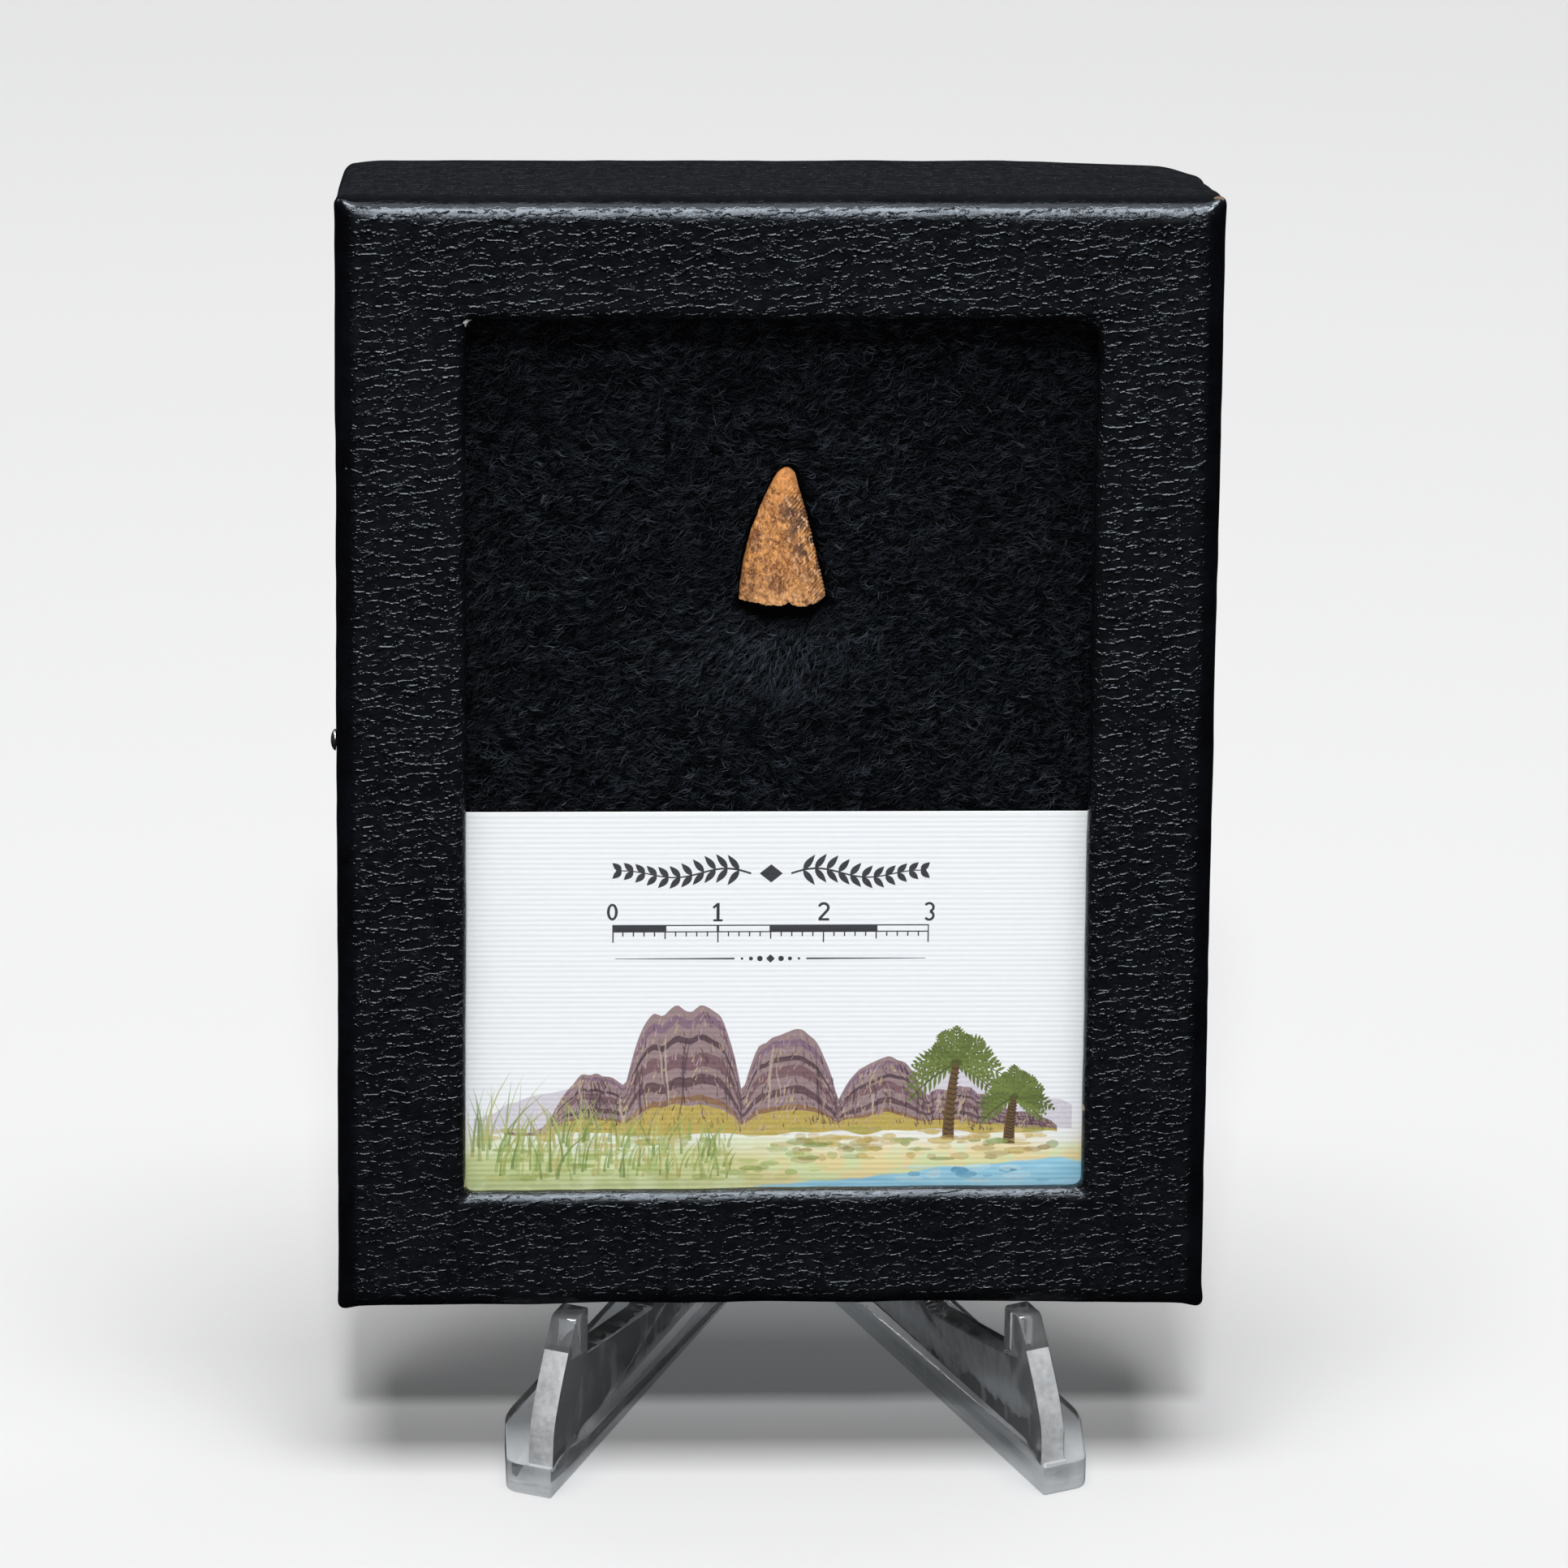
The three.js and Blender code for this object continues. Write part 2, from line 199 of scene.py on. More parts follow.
def times(tree, first, second):
    return maths(tree, "MULTIPLY", first, second)


def times_add(tree, first, second, third):
    return maths(tree, "MULTIPLY_ADD", first, second, third)


def noise(tree, at, per_mm, detail=2.0, roughness=0.5, output="Fac"):
    values = {"Vector": at, "Scale": per_mm / MM, "Detail": detail, "Roughness": roughness}
    return add(tree, "ShaderNodeTexNoise", values).outputs[output]


def cells(tree, at, per_mm, randomness=1.0, **settings):
    values = {"Vector": at, "Scale": per_mm / MM, "Randomness": randomness}
    return add(tree, "ShaderNodeTexVoronoi", values, **settings).outputs


def stretched(tree, at, scale=(1, 1, 1), turn=(0, 0, 0), shift=(0, 0, 0)):
    """Coordinates turned and shifted, with each axis scaled."""
    values = {"Vector": at, "Location": shift, "Rotation": turn, "Scale": scale}
    return add(tree, "ShaderNodeMapping", values).outputs[0]


def remap(tree, value, low, high, to_low=0.0, to_high=1.0):
    """Smooth step of a value between low and high."""
    values = {"Value": value, "From Min": low, "From Max": high,
              "To Min": to_low, "To Max": to_high}
    return add(tree, "ShaderNodeMapRange", values, interpolation_type="SMOOTHSTEP").outputs[0]


def mix(tree, share, first, second, mode="MIX"):
    values = {0: share, 6: first, 7: second}
    return add(tree, "ShaderNodeMix", values, data_type="RGBA", blend_type=mode).outputs[2]


def own_place(tree):
    """Coordinates in the piece's own frame, in metres."""
    return add(tree, "ShaderNodeTexCoord").outputs["Object"]


def parts_of(tree, vector):
    return add(tree, "ShaderNodeSeparateXYZ", {0: vector}).outputs


def attribute(tree, name):
    return add(tree, "ShaderNodeAttribute", attribute_name=name).outputs


def bump(tree, height, relief):
    """A normal from a height of 0 to 1 that stands for relief millimetres."""
    values = {"Height": height, "Distance": relief * MM, "Strength": 1.0}
    return add(tree, "ShaderNodeBump", values).outputs["Normal"]


def principled(tree, colour, rough, more):
    values = {"Base Color": colour, "Roughness": rough, **more}
    return add(tree, "ShaderNodeBsdfPrincipled", values).outputs[0]


def mix_shaders(tree, share, first, second):
    return add(tree, "ShaderNodeMixShader", {0: share, 1: first, 2: second}).outputs[0]


def new_effect(inputs, output):
    """Makes a function that lays out nodes into a shader node group of the same name. Its inputs
    are given with their usual values, or None for a vector, and it returns the output's socket."""
    def build(layout):
        group = bpy.data.node_groups.new(layout.__name__, "ShaderNodeTree")
        for label, value in inputs.items():
            kind = "NodeSocketVector" if value is None else "NodeSocketFloat"
            socket = group.interface.new_socket(label, in_out="INPUT", socket_type=kind)
            if value is not None:
                socket.default_value = value
        group.interface.new_socket(output, in_out="OUTPUT", socket_type="NodeSocketFloat")
        given, result = group.nodes.new("NodeGroupInput"), group.nodes.new("NodeGroupOutput")
        group.links.new(layout(group, *given.outputs[:len(inputs)]), result.inputs[output])
        return group
    return build


def effect(tree, group, values):
    return add(tree, "ShaderNodeGroup", values, node_tree=group).outputs[0]


def new_finish(shader_of):
    """Makes a function that gives a material, named like the function that lays out its shader."""
    def finish():
        material = bpy.data.materials.new(shader_of.__name__)
        material.use_nodes = True
        tree = material.node_tree
        tree.nodes.clear()
        add(tree, "ShaderNodeOutputMaterial", {"Surface": shader_of(tree)})
        return material
    return finish


def lamps_pass(tree, shader, tint):
    """The same shader, with lamp light and scattered light passing straight through it."""
    rays = add(tree, "ShaderNodeLightPath").outputs
    through = add(tree, "ShaderNodeBsdfTransparent", {"Color": tint}).outputs[0]
    lit = mix_shaders(tree, rays["Is Shadow Ray"], shader, through)
    return mix_shaders(tree, rays["Is Diffuse Ray"], lit, through)


# ---------------------------------------------------------------- effects that finishes share

CREASES_PER_MM = 0.88


@new_effect({"Sheet": None, "Crease": 1.0, "Bead": 0.5, "Grain": 0.5}, "Height")
def embossed_creases(tree, sheet, crease_share, bead_share, grain_share):
    """Leather-like grain: wavy, nearly level creases, short cracks between them, small beads."""
    turned = stretched(tree, sheet, turn=(0, 0, -0.11))
    swell = noise(tree, stretched(tree, turned, (0.8, 1, 1)), 0.42, 1.0)
    ripple = noise(tree, stretched(tree, turned, (0.75, 0.5, 1)), 1.15, 2.0, 0.6)
    wander = times_add(tree, swell, 1.7, times(tree, ripple, 0.95))
    lines = times_add(tree, parts_of(tree, turned)[1], CREASES_PER_MM / MM, wander)
    level = remap(tree, maths(tree, "PINGPONG", lines, 0.5), 0.0, 0.15, 1.0, 0.0)
    breaks = noise(tree, stretched(tree, turned, (0.62, 1, 1)), 1.25, 2.0, 0.6)
    level = times(tree, level, remap(tree, breaks, 0.44, 0.54))
    swirl = noise(tree, turned, 1.3, output="Color")
    pushed = add(tree, "ShaderNodeVectorMath", {0: swirl, 1: (0.6 * MM, 0.8 * MM, 0.0), 2: turned},
                 operation="MULTIPLY_ADD").outputs["Vector"]
    edges = cells(tree, stretched(tree, pushed, (0.3, 1, 1)), 0.9, 0.85,
                  feature="DISTANCE_TO_EDGE")["Distance"]
    gaps = noise(tree, stretched(tree, turned, (0.8, 1, 1), shift=(0.3, 0.1, 0)), 1.5, 2.0, 0.6)
    crack = times(tree, remap(tree, edges, 0.0, 0.12, 1.0, 0.0), remap(tree, gaps, 0.53, 0.62))
    crease = maths(tree, "MAXIMUM", level, times(tree, crack, 0.8))
    tilted = stretched(tree, pushed, (0.6, 1, 1), turn=(0, 0, -0.45))
    dots = remap(tree, cells(tree, tilted, 1.8)["Distance"], 0.10, 0.30, 1.0, 0.0)
    gate = noise(tree, stretched(tree, turned, shift=(0.1, 0, 0)), 1.6, 1.0)
    bead = times(tree, dots, remap(tree, gate, 0.46, 0.58))
    height = times_add(tree, bead, bead_share, times(tree, crease, crease_share))
    return times_add(tree, noise(tree, turned, 2.6, 3.0, 0.6), grain_share, height)


@new_effect({"Place": None, "Blotch per metre": 1000.0, "Grain share": 0.5}, "Value")
def mottling(tree, place, per_metre, grain_share):
    """Blotches with fine grains in them, from 0 to 1."""
    values = {"Vector": place, "Scale": per_metre, "Detail": 4.0, "Roughness": 0.62}
    blotch = add(tree, "ShaderNodeTexNoise", values).outputs["Fac"]
    values = {"Vector": place, "Scale": times(tree, per_metre, 3.7), "Detail": 2.0}
    grain = add(tree, "ShaderNodeTexNoise", values).outputs["Fac"]
    values = {0: grain_share, 2: blotch, 3: grain}
    both = add(tree, "ShaderNodeMix", values, data_type="FLOAT").outputs[0]
    return remap(tree, both, 0.33, 0.67)


@new_effect({"Place": None, "Amount": 0.5}, "Mask")
def dust_specks(tree, place, amount):
    """Sparse specks of dust and lint, as a mask."""
    grid = cells(tree, place, 0.42)
    near = remap(tree, grid["Distance"], 0.02, 0.05, 1.0, 0.0)
    chosen = maths(tree, "LESS_THAN", parts_of(tree, grid["Color"])[0], amount)
    return times(tree, near, chosen)


@new_effect({"Place": None, "Centre": None, "Radius": 0.001}, "Mask")
def bare_spot(tree, place, centre, radius):
    """A torn spot around a point, as a mask with a ragged edge."""
    away = add(tree, "ShaderNodeVectorMath", {0: place, 1: centre},
               operation="DISTANCE").outputs["Value"]
    share = maths(tree, "DIVIDE", away, radius)
    ragged = times_add(tree, noise(tree, place, 3.1, 2.0), 0.9, share)
    return remap(tree, ragged, 1.15, 1.35, 1.0, 0.0)


def mottled(tree, place, per_metre, grain):
    values = {"Place": place, "Blotch per metre": per_metre, "Grain share": grain}
    return effect(tree, mottling, values)


def dusted(tree, place, amount, share, colour, dust):
    """The colour with specks of dust over it."""
    mask = effect(tree, dust_specks, {"Place": place, "Amount": amount})
    return mix(tree, times(tree, mask, share), colour, dust)


def spot(tree, place, centre, radius):
    """Mask of a ragged spot; its centre and radius are in millimetres."""
    values = {"Place": place, "Centre": Vector(centre) * MM, "Radius": radius * MM}
    return effect(tree, bare_spot, values)


# ---------------------------------------------------------------- finishes

# Torn spots of the covering: centre (x, d, h) and radius in millimetres, and the board's colour.
TEARS = [((-29.1, 0.7, 96.5), 0.55, shade(205, 205, 203)),
         ((40.6, 1.4, 108.2), 0.6, shade(98, 79, 66)),
         ((-29.15, 0.9, 12.6), 0.5, shade(168, 150, 118)),
         ((29.45, 0.8, 20.0), 0.45, shade(150, 132, 98))]
RUBBED_SMOOTHER = 0.16


@new_finish
def leatherette(tree):
    """Black embossed covering, creased on the front, grained on the walls, rubbed between them."""
    sheet = attribute(tree, "sheet")["Vector"]
    place = own_place(tree)
    across, depth, up = parts_of(tree, place)
    side_start, side_end = (BOX_WIDTH / 2 - 2.1) * MM, (BOX_WIDTH / 2 - 1.0) * MM
    inboard = remap(tree, maths(tree, "ABSOLUTE", across), side_start, side_end, 1.0, 0.0)
    on_front = times(tree, remap(tree, depth, 0.05 * MM, 0.8 * MM, 1.0, 0.0), inboard)
    on_walls = remap(tree, depth, 1.5 * MM, 4.5 * MM)
    crease = times_add(tree, on_walls, 0.34, times_add(tree, on_front, 0.88, 0.12))
    crease = times(tree, crease, remap(tree, up, 2 * MM, 34 * MM, 0.7, 1.0))
    grain = times_add(tree, on_walls, 1.0, times_add(tree, on_front, 0.35, 0.14))
    relief = effect(tree, embossed_creases, {
        "Sheet": sheet, "Crease": crease, "Bead": times(tree, crease, 0.8), "Grain": grain})
    black = mix(tree, mottled(tree, place, 160.0, 0.35), shade(4, 4, 6), shade(8, 9, 12))
    colour = dusted(tree, place, 0.10, 0.35, black, shade(150, 152, 158))
    for centre, radius, board in TEARS:
        colour = mix(tree, spot(tree, place, centre, radius), colour, board)
    rubbed = maths(tree, "SUBTRACT", 1.0, maths(tree, "ADD", on_front, on_walls))
    rough = remap(tree, noise(tree, sheet, 0.9, 3.0), 0.3, 0.7, 0.31, 0.41)
    rough = times_add(tree, rubbed, -RUBBED_SMOOTHER, rough)
    return principled(tree, colour, rough, {
        "Normal": bump(tree, relief, 0.1), "Specular IOR Level": 0.46,
        "Specular Tint": (0.78, 0.88, 1.0, 1.0)})


@new_finish
def black_fleece(tree):
    """Matted black fibre; the tone on the mesh lifts single strands towards grey, and is lowered
    under the tooth as painted shadow.
    """
    tone = attribute(tree, "tone")["Fac"]
    place = own_place(tree)
    dark = mix(tree, mottled(tree, place, 320.0, 0.4), shade(1, 1, 2), shade(4, 5, 7))
    colour = mix(tree, tone, dark, shade(85, 91, 101))
    teal = remap(tree, noise(tree, place, 0.5, 1.0), 0.55, 0.75)
    colour = mix(tree, times(tree, teal, 0.3), colour, shade(7, 16, 20))
    return principled(tree, colour, 0.6, {
        "Specular IOR Level": 0.0, "Normal": bump(tree, noise(tree, place, 3.0, 3.0), 0.12)})


@new_finish
def tray_paper(tree):
    """Dull dark paper with long fibres and some dust."""
    place = own_place(tree)
    colour = mix(tree, mottled(tree, place, 240.0, 0.6), shade(22, 22, 24), shade(33, 33, 35))
    colour = dusted(tree, place, 0.16, 0.4, colour, shade(150, 148, 142))
    fibres = noise(tree, stretched(tree, place, (1, 1, 0.25)), 2.6, 4.0, 0.65)
    return principled(tree, colour, remap(tree, fibres, 0.3, 0.7, 0.72, 0.88), {
        "Normal": bump(tree, fibres, 0.06), "Specular IOR Level": 0.3})


@new_finish
def clear_pane(tree):
    """Clear sheet, faintly smeared."""
    smear = remap(tree, mottled(tree, own_place(tree), 60.0, 0.3), 0.2, 0.9, 0.0, 0.035)
    glass = principled(tree, (0.985, 0.995, 0.99, 1), smear, {
        "Transmission Weight": 1.0, "IOR": 1.46, "Specular IOR Level": 0.2})
    return lamps_pass(tree, glass, (0.93, 0.94, 0.94, 1))


PLASTIC_IOR = 1.49


@new_finish
def clear_plastic(tree):
    """Moulded clear plastic, a little hazed, with scuffs that run along the plates."""
    place = own_place(tree)
    scuffs = noise(tree, stretched(tree, place, (1, 0.7, 0.3)), 0.6, 3.0, 0.6)
    worn = remap(tree, scuffs, 0.50, 0.64)
    colour = mix(tree, worn, (0.90, 0.91, 0.92, 1), (0.99, 0.99, 1.0, 1))
    plastic = principled(tree, colour, times_add(tree, worn, 0.24, 0.02), {
        "Transmission Weight": 0.95, "IOR": PLASTIC_IOR,
        "Normal": bump(tree, noise(tree, place, 0.2, 2.0), 0.06)})
    return lamps_pass(tree, plastic, (0.86, 0.88, 0.89, 1))


@new_finish
def frosted_plastic(tree):
    """The same plastic where its moulded edge is left matt."""
    place = own_place(tree)
    cloud = mottled(tree, place, 420.0, 0.5)
    colour = mix(tree, cloud, (0.28, 0.29, 0.30, 1), (0.42, 0.43, 0.44, 1))
    grain = noise(tree, place, 4.0, 3.0, 0.6)
    matt = principled(tree, colour, remap(tree, grain, 0.3, 0.7, 0.42, 0.6), {
        "Transmission Weight": 0.3, "IOR": PLASTIC_IOR, "Normal": bump(tree, grain, 0.02)})
    return lamps_pass(tree, matt, (0.6, 0.61, 0.62, 1))


@new_finish
def pin_steel(tree):
    """Bright drawn steel."""
    place = own_place(tree)
    wear = mottled(tree, place, 1500.0, 0.5)
    colour = mix(tree, wear, shade(186, 184, 180), shade(222, 222, 222))
    drawn = noise(tree, stretched(tree, place, (0.1, 1, 1)), 9.0, 2.0)
    return principled(tree, colour, remap(tree, wear, 0.0, 1.0, 0.16, 0.34), {
        "Metallic": 1.0, "Normal": bump(tree, drawn, 0.01)})


TAN_DARK, TAN_LIGHT, FRECKLE = shade(126, 72, 33), shade(228, 161, 93), shade(104, 54, 25)
TIP_ORANGE, FOOT_PALE, EDGE_FLECK = shade(228, 152, 84), shade(210, 158, 106), shade(232, 182, 140)
EDGE_STAIN, SPOT_STAIN = shade(76, 54, 45), shade(94, 53, 34)

# Stained spots: centre (x, y, z) and radius in millimetres in the tooth's own frame, and strength.
STAINS = [((-2.4, 0, 6.2), 1.1, 0.6), ((-0.4, 0, 2.5), 1.35, 0.8), ((-3.2, 0, 2.2), 1.7, 0.6),
          ((-0.2, 0, 5.15), 0.22, 0.9), ((1.0, 0, 8.9), 0.9, 0.35), ((0.5, 0, 6.3), 0.7, 0.45),
          ((-2.2, 0, 4.4), 1.1, 0.4), ((2.9, 0, 2.9), 0.9, 0.5)]


@new_finish
def tooth_enamel(tree):
    """Golden tan enamel, orange at the tip and freckled; stained and flecked by the serrations."""
    place = own_place(tree)
    x, _, z = parts_of(tree, place)
    flat = stretched(tree, place, (1, 0.35, 1))
    slanted = stretched(tree, flat, (1.0, 1.0, 0.6), turn=(0, 0.7, 0))
    tan = mottled(tree, slanted, 1500.0, 0.5)
    colour = mix(tree, tan, TAN_DARK, TAN_LIGHT)
    tip = times_add(tree, noise(tree, place, 0.7, 2.0), 2.4 * MM, z)
    tip = times(tree, remap(tree, tip, 9.6 * MM, 14.6 * MM), 0.8)
    colour = mix(tree, tip, colour, TIP_ORANGE)
    pale = times_add(tree, noise(tree, place, 0.6, 2.0), -4.0 * MM, z)
    pale = times(tree, remap(tree, pale, -2.2 * MM, 2.4 * MM, 1.0, 0.0), 0.5)
    colour = mix(tree, pale, colour, FOOT_PALE)
    patches = remap(tree, noise(tree, place, 0.55, 2.0), 0.40, 0.60, 0.35, 0.92)
    freckles = noise(tree, stretched(tree, flat, turn=(0, -0.5, 0)), 2.1, 4.0, 0.75)
    freckles = remap(tree, freckles, 0.47, 0.62)
    colour = mix(tree, times(tree, freckles, patches), colour, FRECKLE)
    side = serrated_side(tree, place, x, z)
    stains = remap(tree, noise(tree, slanted, 1.3, 3.0, 0.7), 0.38, 0.56)
    colour = mix(tree, times(tree, times(tree, stains, side), 0.85), colour, EDGE_STAIN)
    grainy = remap(tree, tan, 0.1, 0.9, 1.0, 0.35)
    for centre, radius, share in STAINS:
        stain = times(tree, spot(tree, flat, centre, radius), share)
        colour = mix(tree, times(tree, stain, grainy), colour, SPOT_STAIN)
    flecks = noise(tree, stretched(tree, slanted, shift=(0.02, 0, 0)), 2.9, 2.0)
    flecks = times(tree, remap(tree, flecks, 0.56, 0.64), times_add(tree, side, 0.5, 0.28))
    colour = mix(tree, flecks, colour, EDGE_FLECK)
    height = times_add(tree, freckles, -0.35, noise(tree, slanted, 3.2, 4.0, 0.65))
    return principled(tree, colour, remap(tree, tan, 0.0, 1.0, 0.36, 0.52), {
        "Normal": bump(tree, height, 0.14), "Specular IOR Level": 0.35,
        "Subsurface Weight": 0.05, "Subsurface Scale": 0.6 * MM,
        "Subsurface Radius": (1.0, 0.5, 0.25)})


def serrated_side(tree, place, x, z):
    """Mask of the stained strip along the serrated edge, from near the tip to the lower quarter."""
    across = times_add(tree, z, 0.25, x)
    across = times_add(tree, noise(tree, place, 0.7, 2.0), 1.8 * MM, across)
    strip = remap(tree, across, 2.3 * MM, 4.0 * MM)
    low = remap(tree, z, 2.0 * MM, 4.6 * MM, 0.3, 1.0)
    high = remap(tree, z, 9.4 * MM, 11.4 * MM, 1.0, 0.1)
    return times(tree, times(tree, strip, low), high)


@new_finish
def tooth_break(tree):
    """Dull, crumbly broken root end."""
    place = own_place(tree)
    tone = mottled(tree, place, 1100.0, 0.5)
    colour = mix(tree, tone, shade(128, 84, 52), shade(196, 152, 108))
    height = noise(tree, place, 3.0, 4.0, 0.7)
    rough = remap(tree, height, 0.3, 0.7, 0.6, 0.8)
    return principled(tree, colour, rough, {"Normal": bump(tree, height, 0.1)})


@new_finish
def printed_card(tree):
    """White laid card: ribs, a washed ground along its foot, and ink from the print colours."""
    place = own_place(tree)
    x, _, h = parts_of(tree, place)
    fibre = noise(tree, place, 1.4, 3.0)
    paper = mix(tree, fibre, shade(229, 229, 233), shade(235, 235, 238))
    drift = noise(tree, stretched(tree, place, (0.3, 1, 1)), 0.35, 3.0)
    ground = times_add(tree, drift, -5.0 * MM, h)
    ground = times(tree, remap(tree, ground, 11.5 * MM, 15.6 * MM, 1.0, 0.0), 0.9)
    east = remap(tree, x, -14 * MM, 10 * MM)
    hue = mix(tree, east, shade(186, 196, 128), shade(226, 204, 142))
    meadow = remap(tree, noise(tree, place, 0.5, 3.0), 0.42, 0.62)
    hue = mix(tree, meadow, hue, shade(206, 214, 156))
    colour = mix(tree, ground, paper, hue)
    shore = times_add(tree, drift, 3.2 * MM, times_add(tree, x, -0.085, h))
    water = remap(tree, shore, 13.2 * MM, 13.6 * MM, 1.0, 0.0)
    ripples = noise(tree, stretched(tree, place, (0.2, 1, 1)), 1.2, 2.0)
    blue = mix(tree, ripples, shade(120, 182, 212), shade(176, 216, 232))
    colour = mix(tree, water, colour, blue)
    ink = attribute(tree, "print")
    dapple = mix(tree, noise(tree, place, 3.6, 2.0), shade(120, 120, 120), shade(255, 255, 255))
    inked = mix(tree, 0.42, ink["Color"], dapple, mode="MULTIPLY")
    colour = mix(tree, ink["Alpha"], colour, inked)
    ribs = add(tree, "ShaderNodeTexWave", {
        "Vector": stretched(tree, place, (0.04, 1, 1)), "Scale": 0.62 / MM, "Distortion": 1.6,
        "Detail": 2.0, "Detail Scale": 1.2}, bands_direction="Z").outputs["Fac"]
    weave = noise(tree, stretched(tree, place, (0.12, 1, 1)), 3.0, 2.0)
    relief = times_add(tree, weave, 0.8, ribs)
    return principled(tree, colour, remap(tree, fibre, 0.3, 0.7, 0.66, 0.78), {
        "Normal": bump(tree, relief, 0.009), "Specular IOR Level": 0.3})


@new_finish
def studio_floor(tree):
    """Pale matt floor, held back in mirror-like reflections so that the window stays clear."""
    depth = add(tree, "ShaderNodeLightPath").outputs["Glossy Depth"]
    mirrored = maths(tree, "GREATER_THAN", depth, 0.5)
    pale, dim = (add(tree, "ShaderNodeBsdfDiffuse", {"Color": colour}).outputs[0]
                 for colour in ((0.39, 0.39, 0.394, 1), (0.004, 0.004, 0.0045, 1)))
    return mix_shaders(tree, mirrored, pale, dim)


# ---------------------------------------------------------------- lid

FRAME_COLUMNS, FRAME_ROWS, ARC_STEPS = 104, 136, 6
FRONT_STEPS, WALL_STEPS = 26, 16

# The covering stands fuller along the top front edge: how far it rises, how far its curve is
# drawn back, and where both fade out.
BROW_RISE, BROW_DEPTH, BROW_BLEND, BROW_FADE = 0.12, 0.7, 4.0, 8.0

# Waves of the whole covering: height, width and seed.
UNEVEN = ((0.075, 7.5, 11), (0.03, 2.3, 21))

# Its foot bows up in the middle, the window's sill rises to the right, and the top sags there.
FOOT_BOW, FOOT_REACH, FOOT_HALF = 0.28, 3.0, 41
SILL_REACH, SILL_HALF, SILL_START, SILL_RISE = 2.5, 33, -0.1, 0.38
TOP_SAG = 0.55

# Crushed back corners: side, reach, where it starts and over what depth, push inward and down.
CRUSHED = [(1, 3.1, 6, 11, 0.6, 0.95), (-1, 2.4, 4, 12, 0.85, 0.3)]

# Folded points at the front corners: side, level, reach, and pull outward and up or down.
FOLDS = [(-1, BOX_HEIGHT, 1.25, 0.22, 0.5), (1, BOX_HEIGHT, 1.3, 0.2, 0.65),
         (-1, 0.0, 1.15, 0.3, 0.5), (1, 0.0, 1.15, 0.3, 0.5)]
FOLD_DEPTH, FOLD_FORWARD = 1.1, 0.12

# Window corners: how deep and how wide the covering is ruffled; height, width and seed in x, d, h.
REVEAL_DEPTH, RUFFLE_REACH = 1.6, 1.8
RUFFLES = [(0.14, 0.9, 34), (-0.16, 0.75, 33), (0.14, 0.9, 35)]


def frame_ring(left, right, bottom, top, corner, grow):
    """Points (x, h) of a rounded rectangle, anticlockwise as seen from the front."""
    left, right, bottom, top = left - grow, right + grow, bottom - grow, top + grow
    across = np.linspace(left + corner, right - corner, FRAME_COLUMNS + 1)
    upward = np.linspace(bottom + corner, top - corner, FRAME_ROWS + 1)
    sides = [(across, np.full_like(across, bottom)), (np.full_like(upward, right), upward),
             (across[::-1], np.full_like(across, top)), (np.full_like(upward, left), upward[::-1])]
    middles = [(right - corner, bottom + corner), (right - corner, top - corner),
               (left + corner, top - corner), (left + corner, bottom + corner)]
    points = []
    for quarter, (side, (x, h)) in enumerate(zip(sides, middles)):
        turn = np.linspace(-math.pi / 2, 0, ARC_STEPS + 1)[1:-1] + quarter * math.pi / 2
        points += [np.column_stack(side), oval(x, h, corner, corner, turn)]
    return np.concatenate(points)


def ring_walls():
    """Which wall each step of a frame ring belongs to: 0 bottom, 1 right, 2 top, 3 left."""
    walls = []
    for wall in range(4):
        straight = FRAME_ROWS if wall % 2 else FRAME_COLUMNS
        walls += [wall] * (straight + ARC_STEPS // 2)
        walls += [(wall + 1) % 4] * (ARC_STEPS - ARC_STEPS // 2)
    return np.array(walls)


def lid_stations():
    """The lid's section as rings, each with its depth and whether it unfolds outward (1) or
    inward (-1): from the window's reveal over the front and the walls to the inside."""
    outer = {"left": -BOX_WIDTH / 2, "right": BOX_WIDTH / 2, "bottom": 0.0, "top": BOX_HEIGHT}

    def window(grow):
        return frame_ring(**WINDOW, corner=WINDOW_CORNER, grow=grow)

    def outline(inset):
        return frame_ring(**outer, corner=PLAN_CORNER, grow=-inset)

    def across(start, end, steps, depth):
        """Rings on a level face, between two others."""
        shares = np.linspace(0, 1, steps + 1)[1:-1]
        return [(start + (end - start) * share, depth, 1) for share in shares]

    stations = [(window(0), d, -1) for d in np.linspace(PANEL, LIP, 4)]
    for turn in np.linspace(0, math.pi / 2, 6)[1:]:
        stations.append((window(LIP * (1 - math.cos(turn))), LIP * (1 - math.sin(turn)), -1))
    stations += across(window(LIP), outline(FRONT_ROUND), FRONT_STEPS, 0.0)
    for turn in np.linspace(0, math.pi / 2, 9):
        inset, depth = FRONT_ROUND * (1 - math.sin(turn)), FRONT_ROUND * (1 - math.cos(turn))
        stations.append((outline(inset), depth, 1))
    for d in np.linspace(FRONT_ROUND, BOX_DEPTH - BACK_ROUND, WALL_STEPS + 1)[1:]:
        stations.append((outline(0), d, 1))
    for inset, back in ((BACK_BEVEL, BACK_BEVEL), (BACK_ROUND, 0),
                        (LID_WALL - BACK_ROUND, 0), (LID_WALL - BACK_BEVEL, BACK_BEVEL)):
        stations.append((outline(inset), BOX_DEPTH - back, 1))
    for d in np.linspace(BOX_DEPTH - BACK_ROUND, PANEL, 5):
        stations.append((outline(LID_WALL), d, 1))
    return stations + across(outline(LID_WALL), window(0), 5, PANEL)


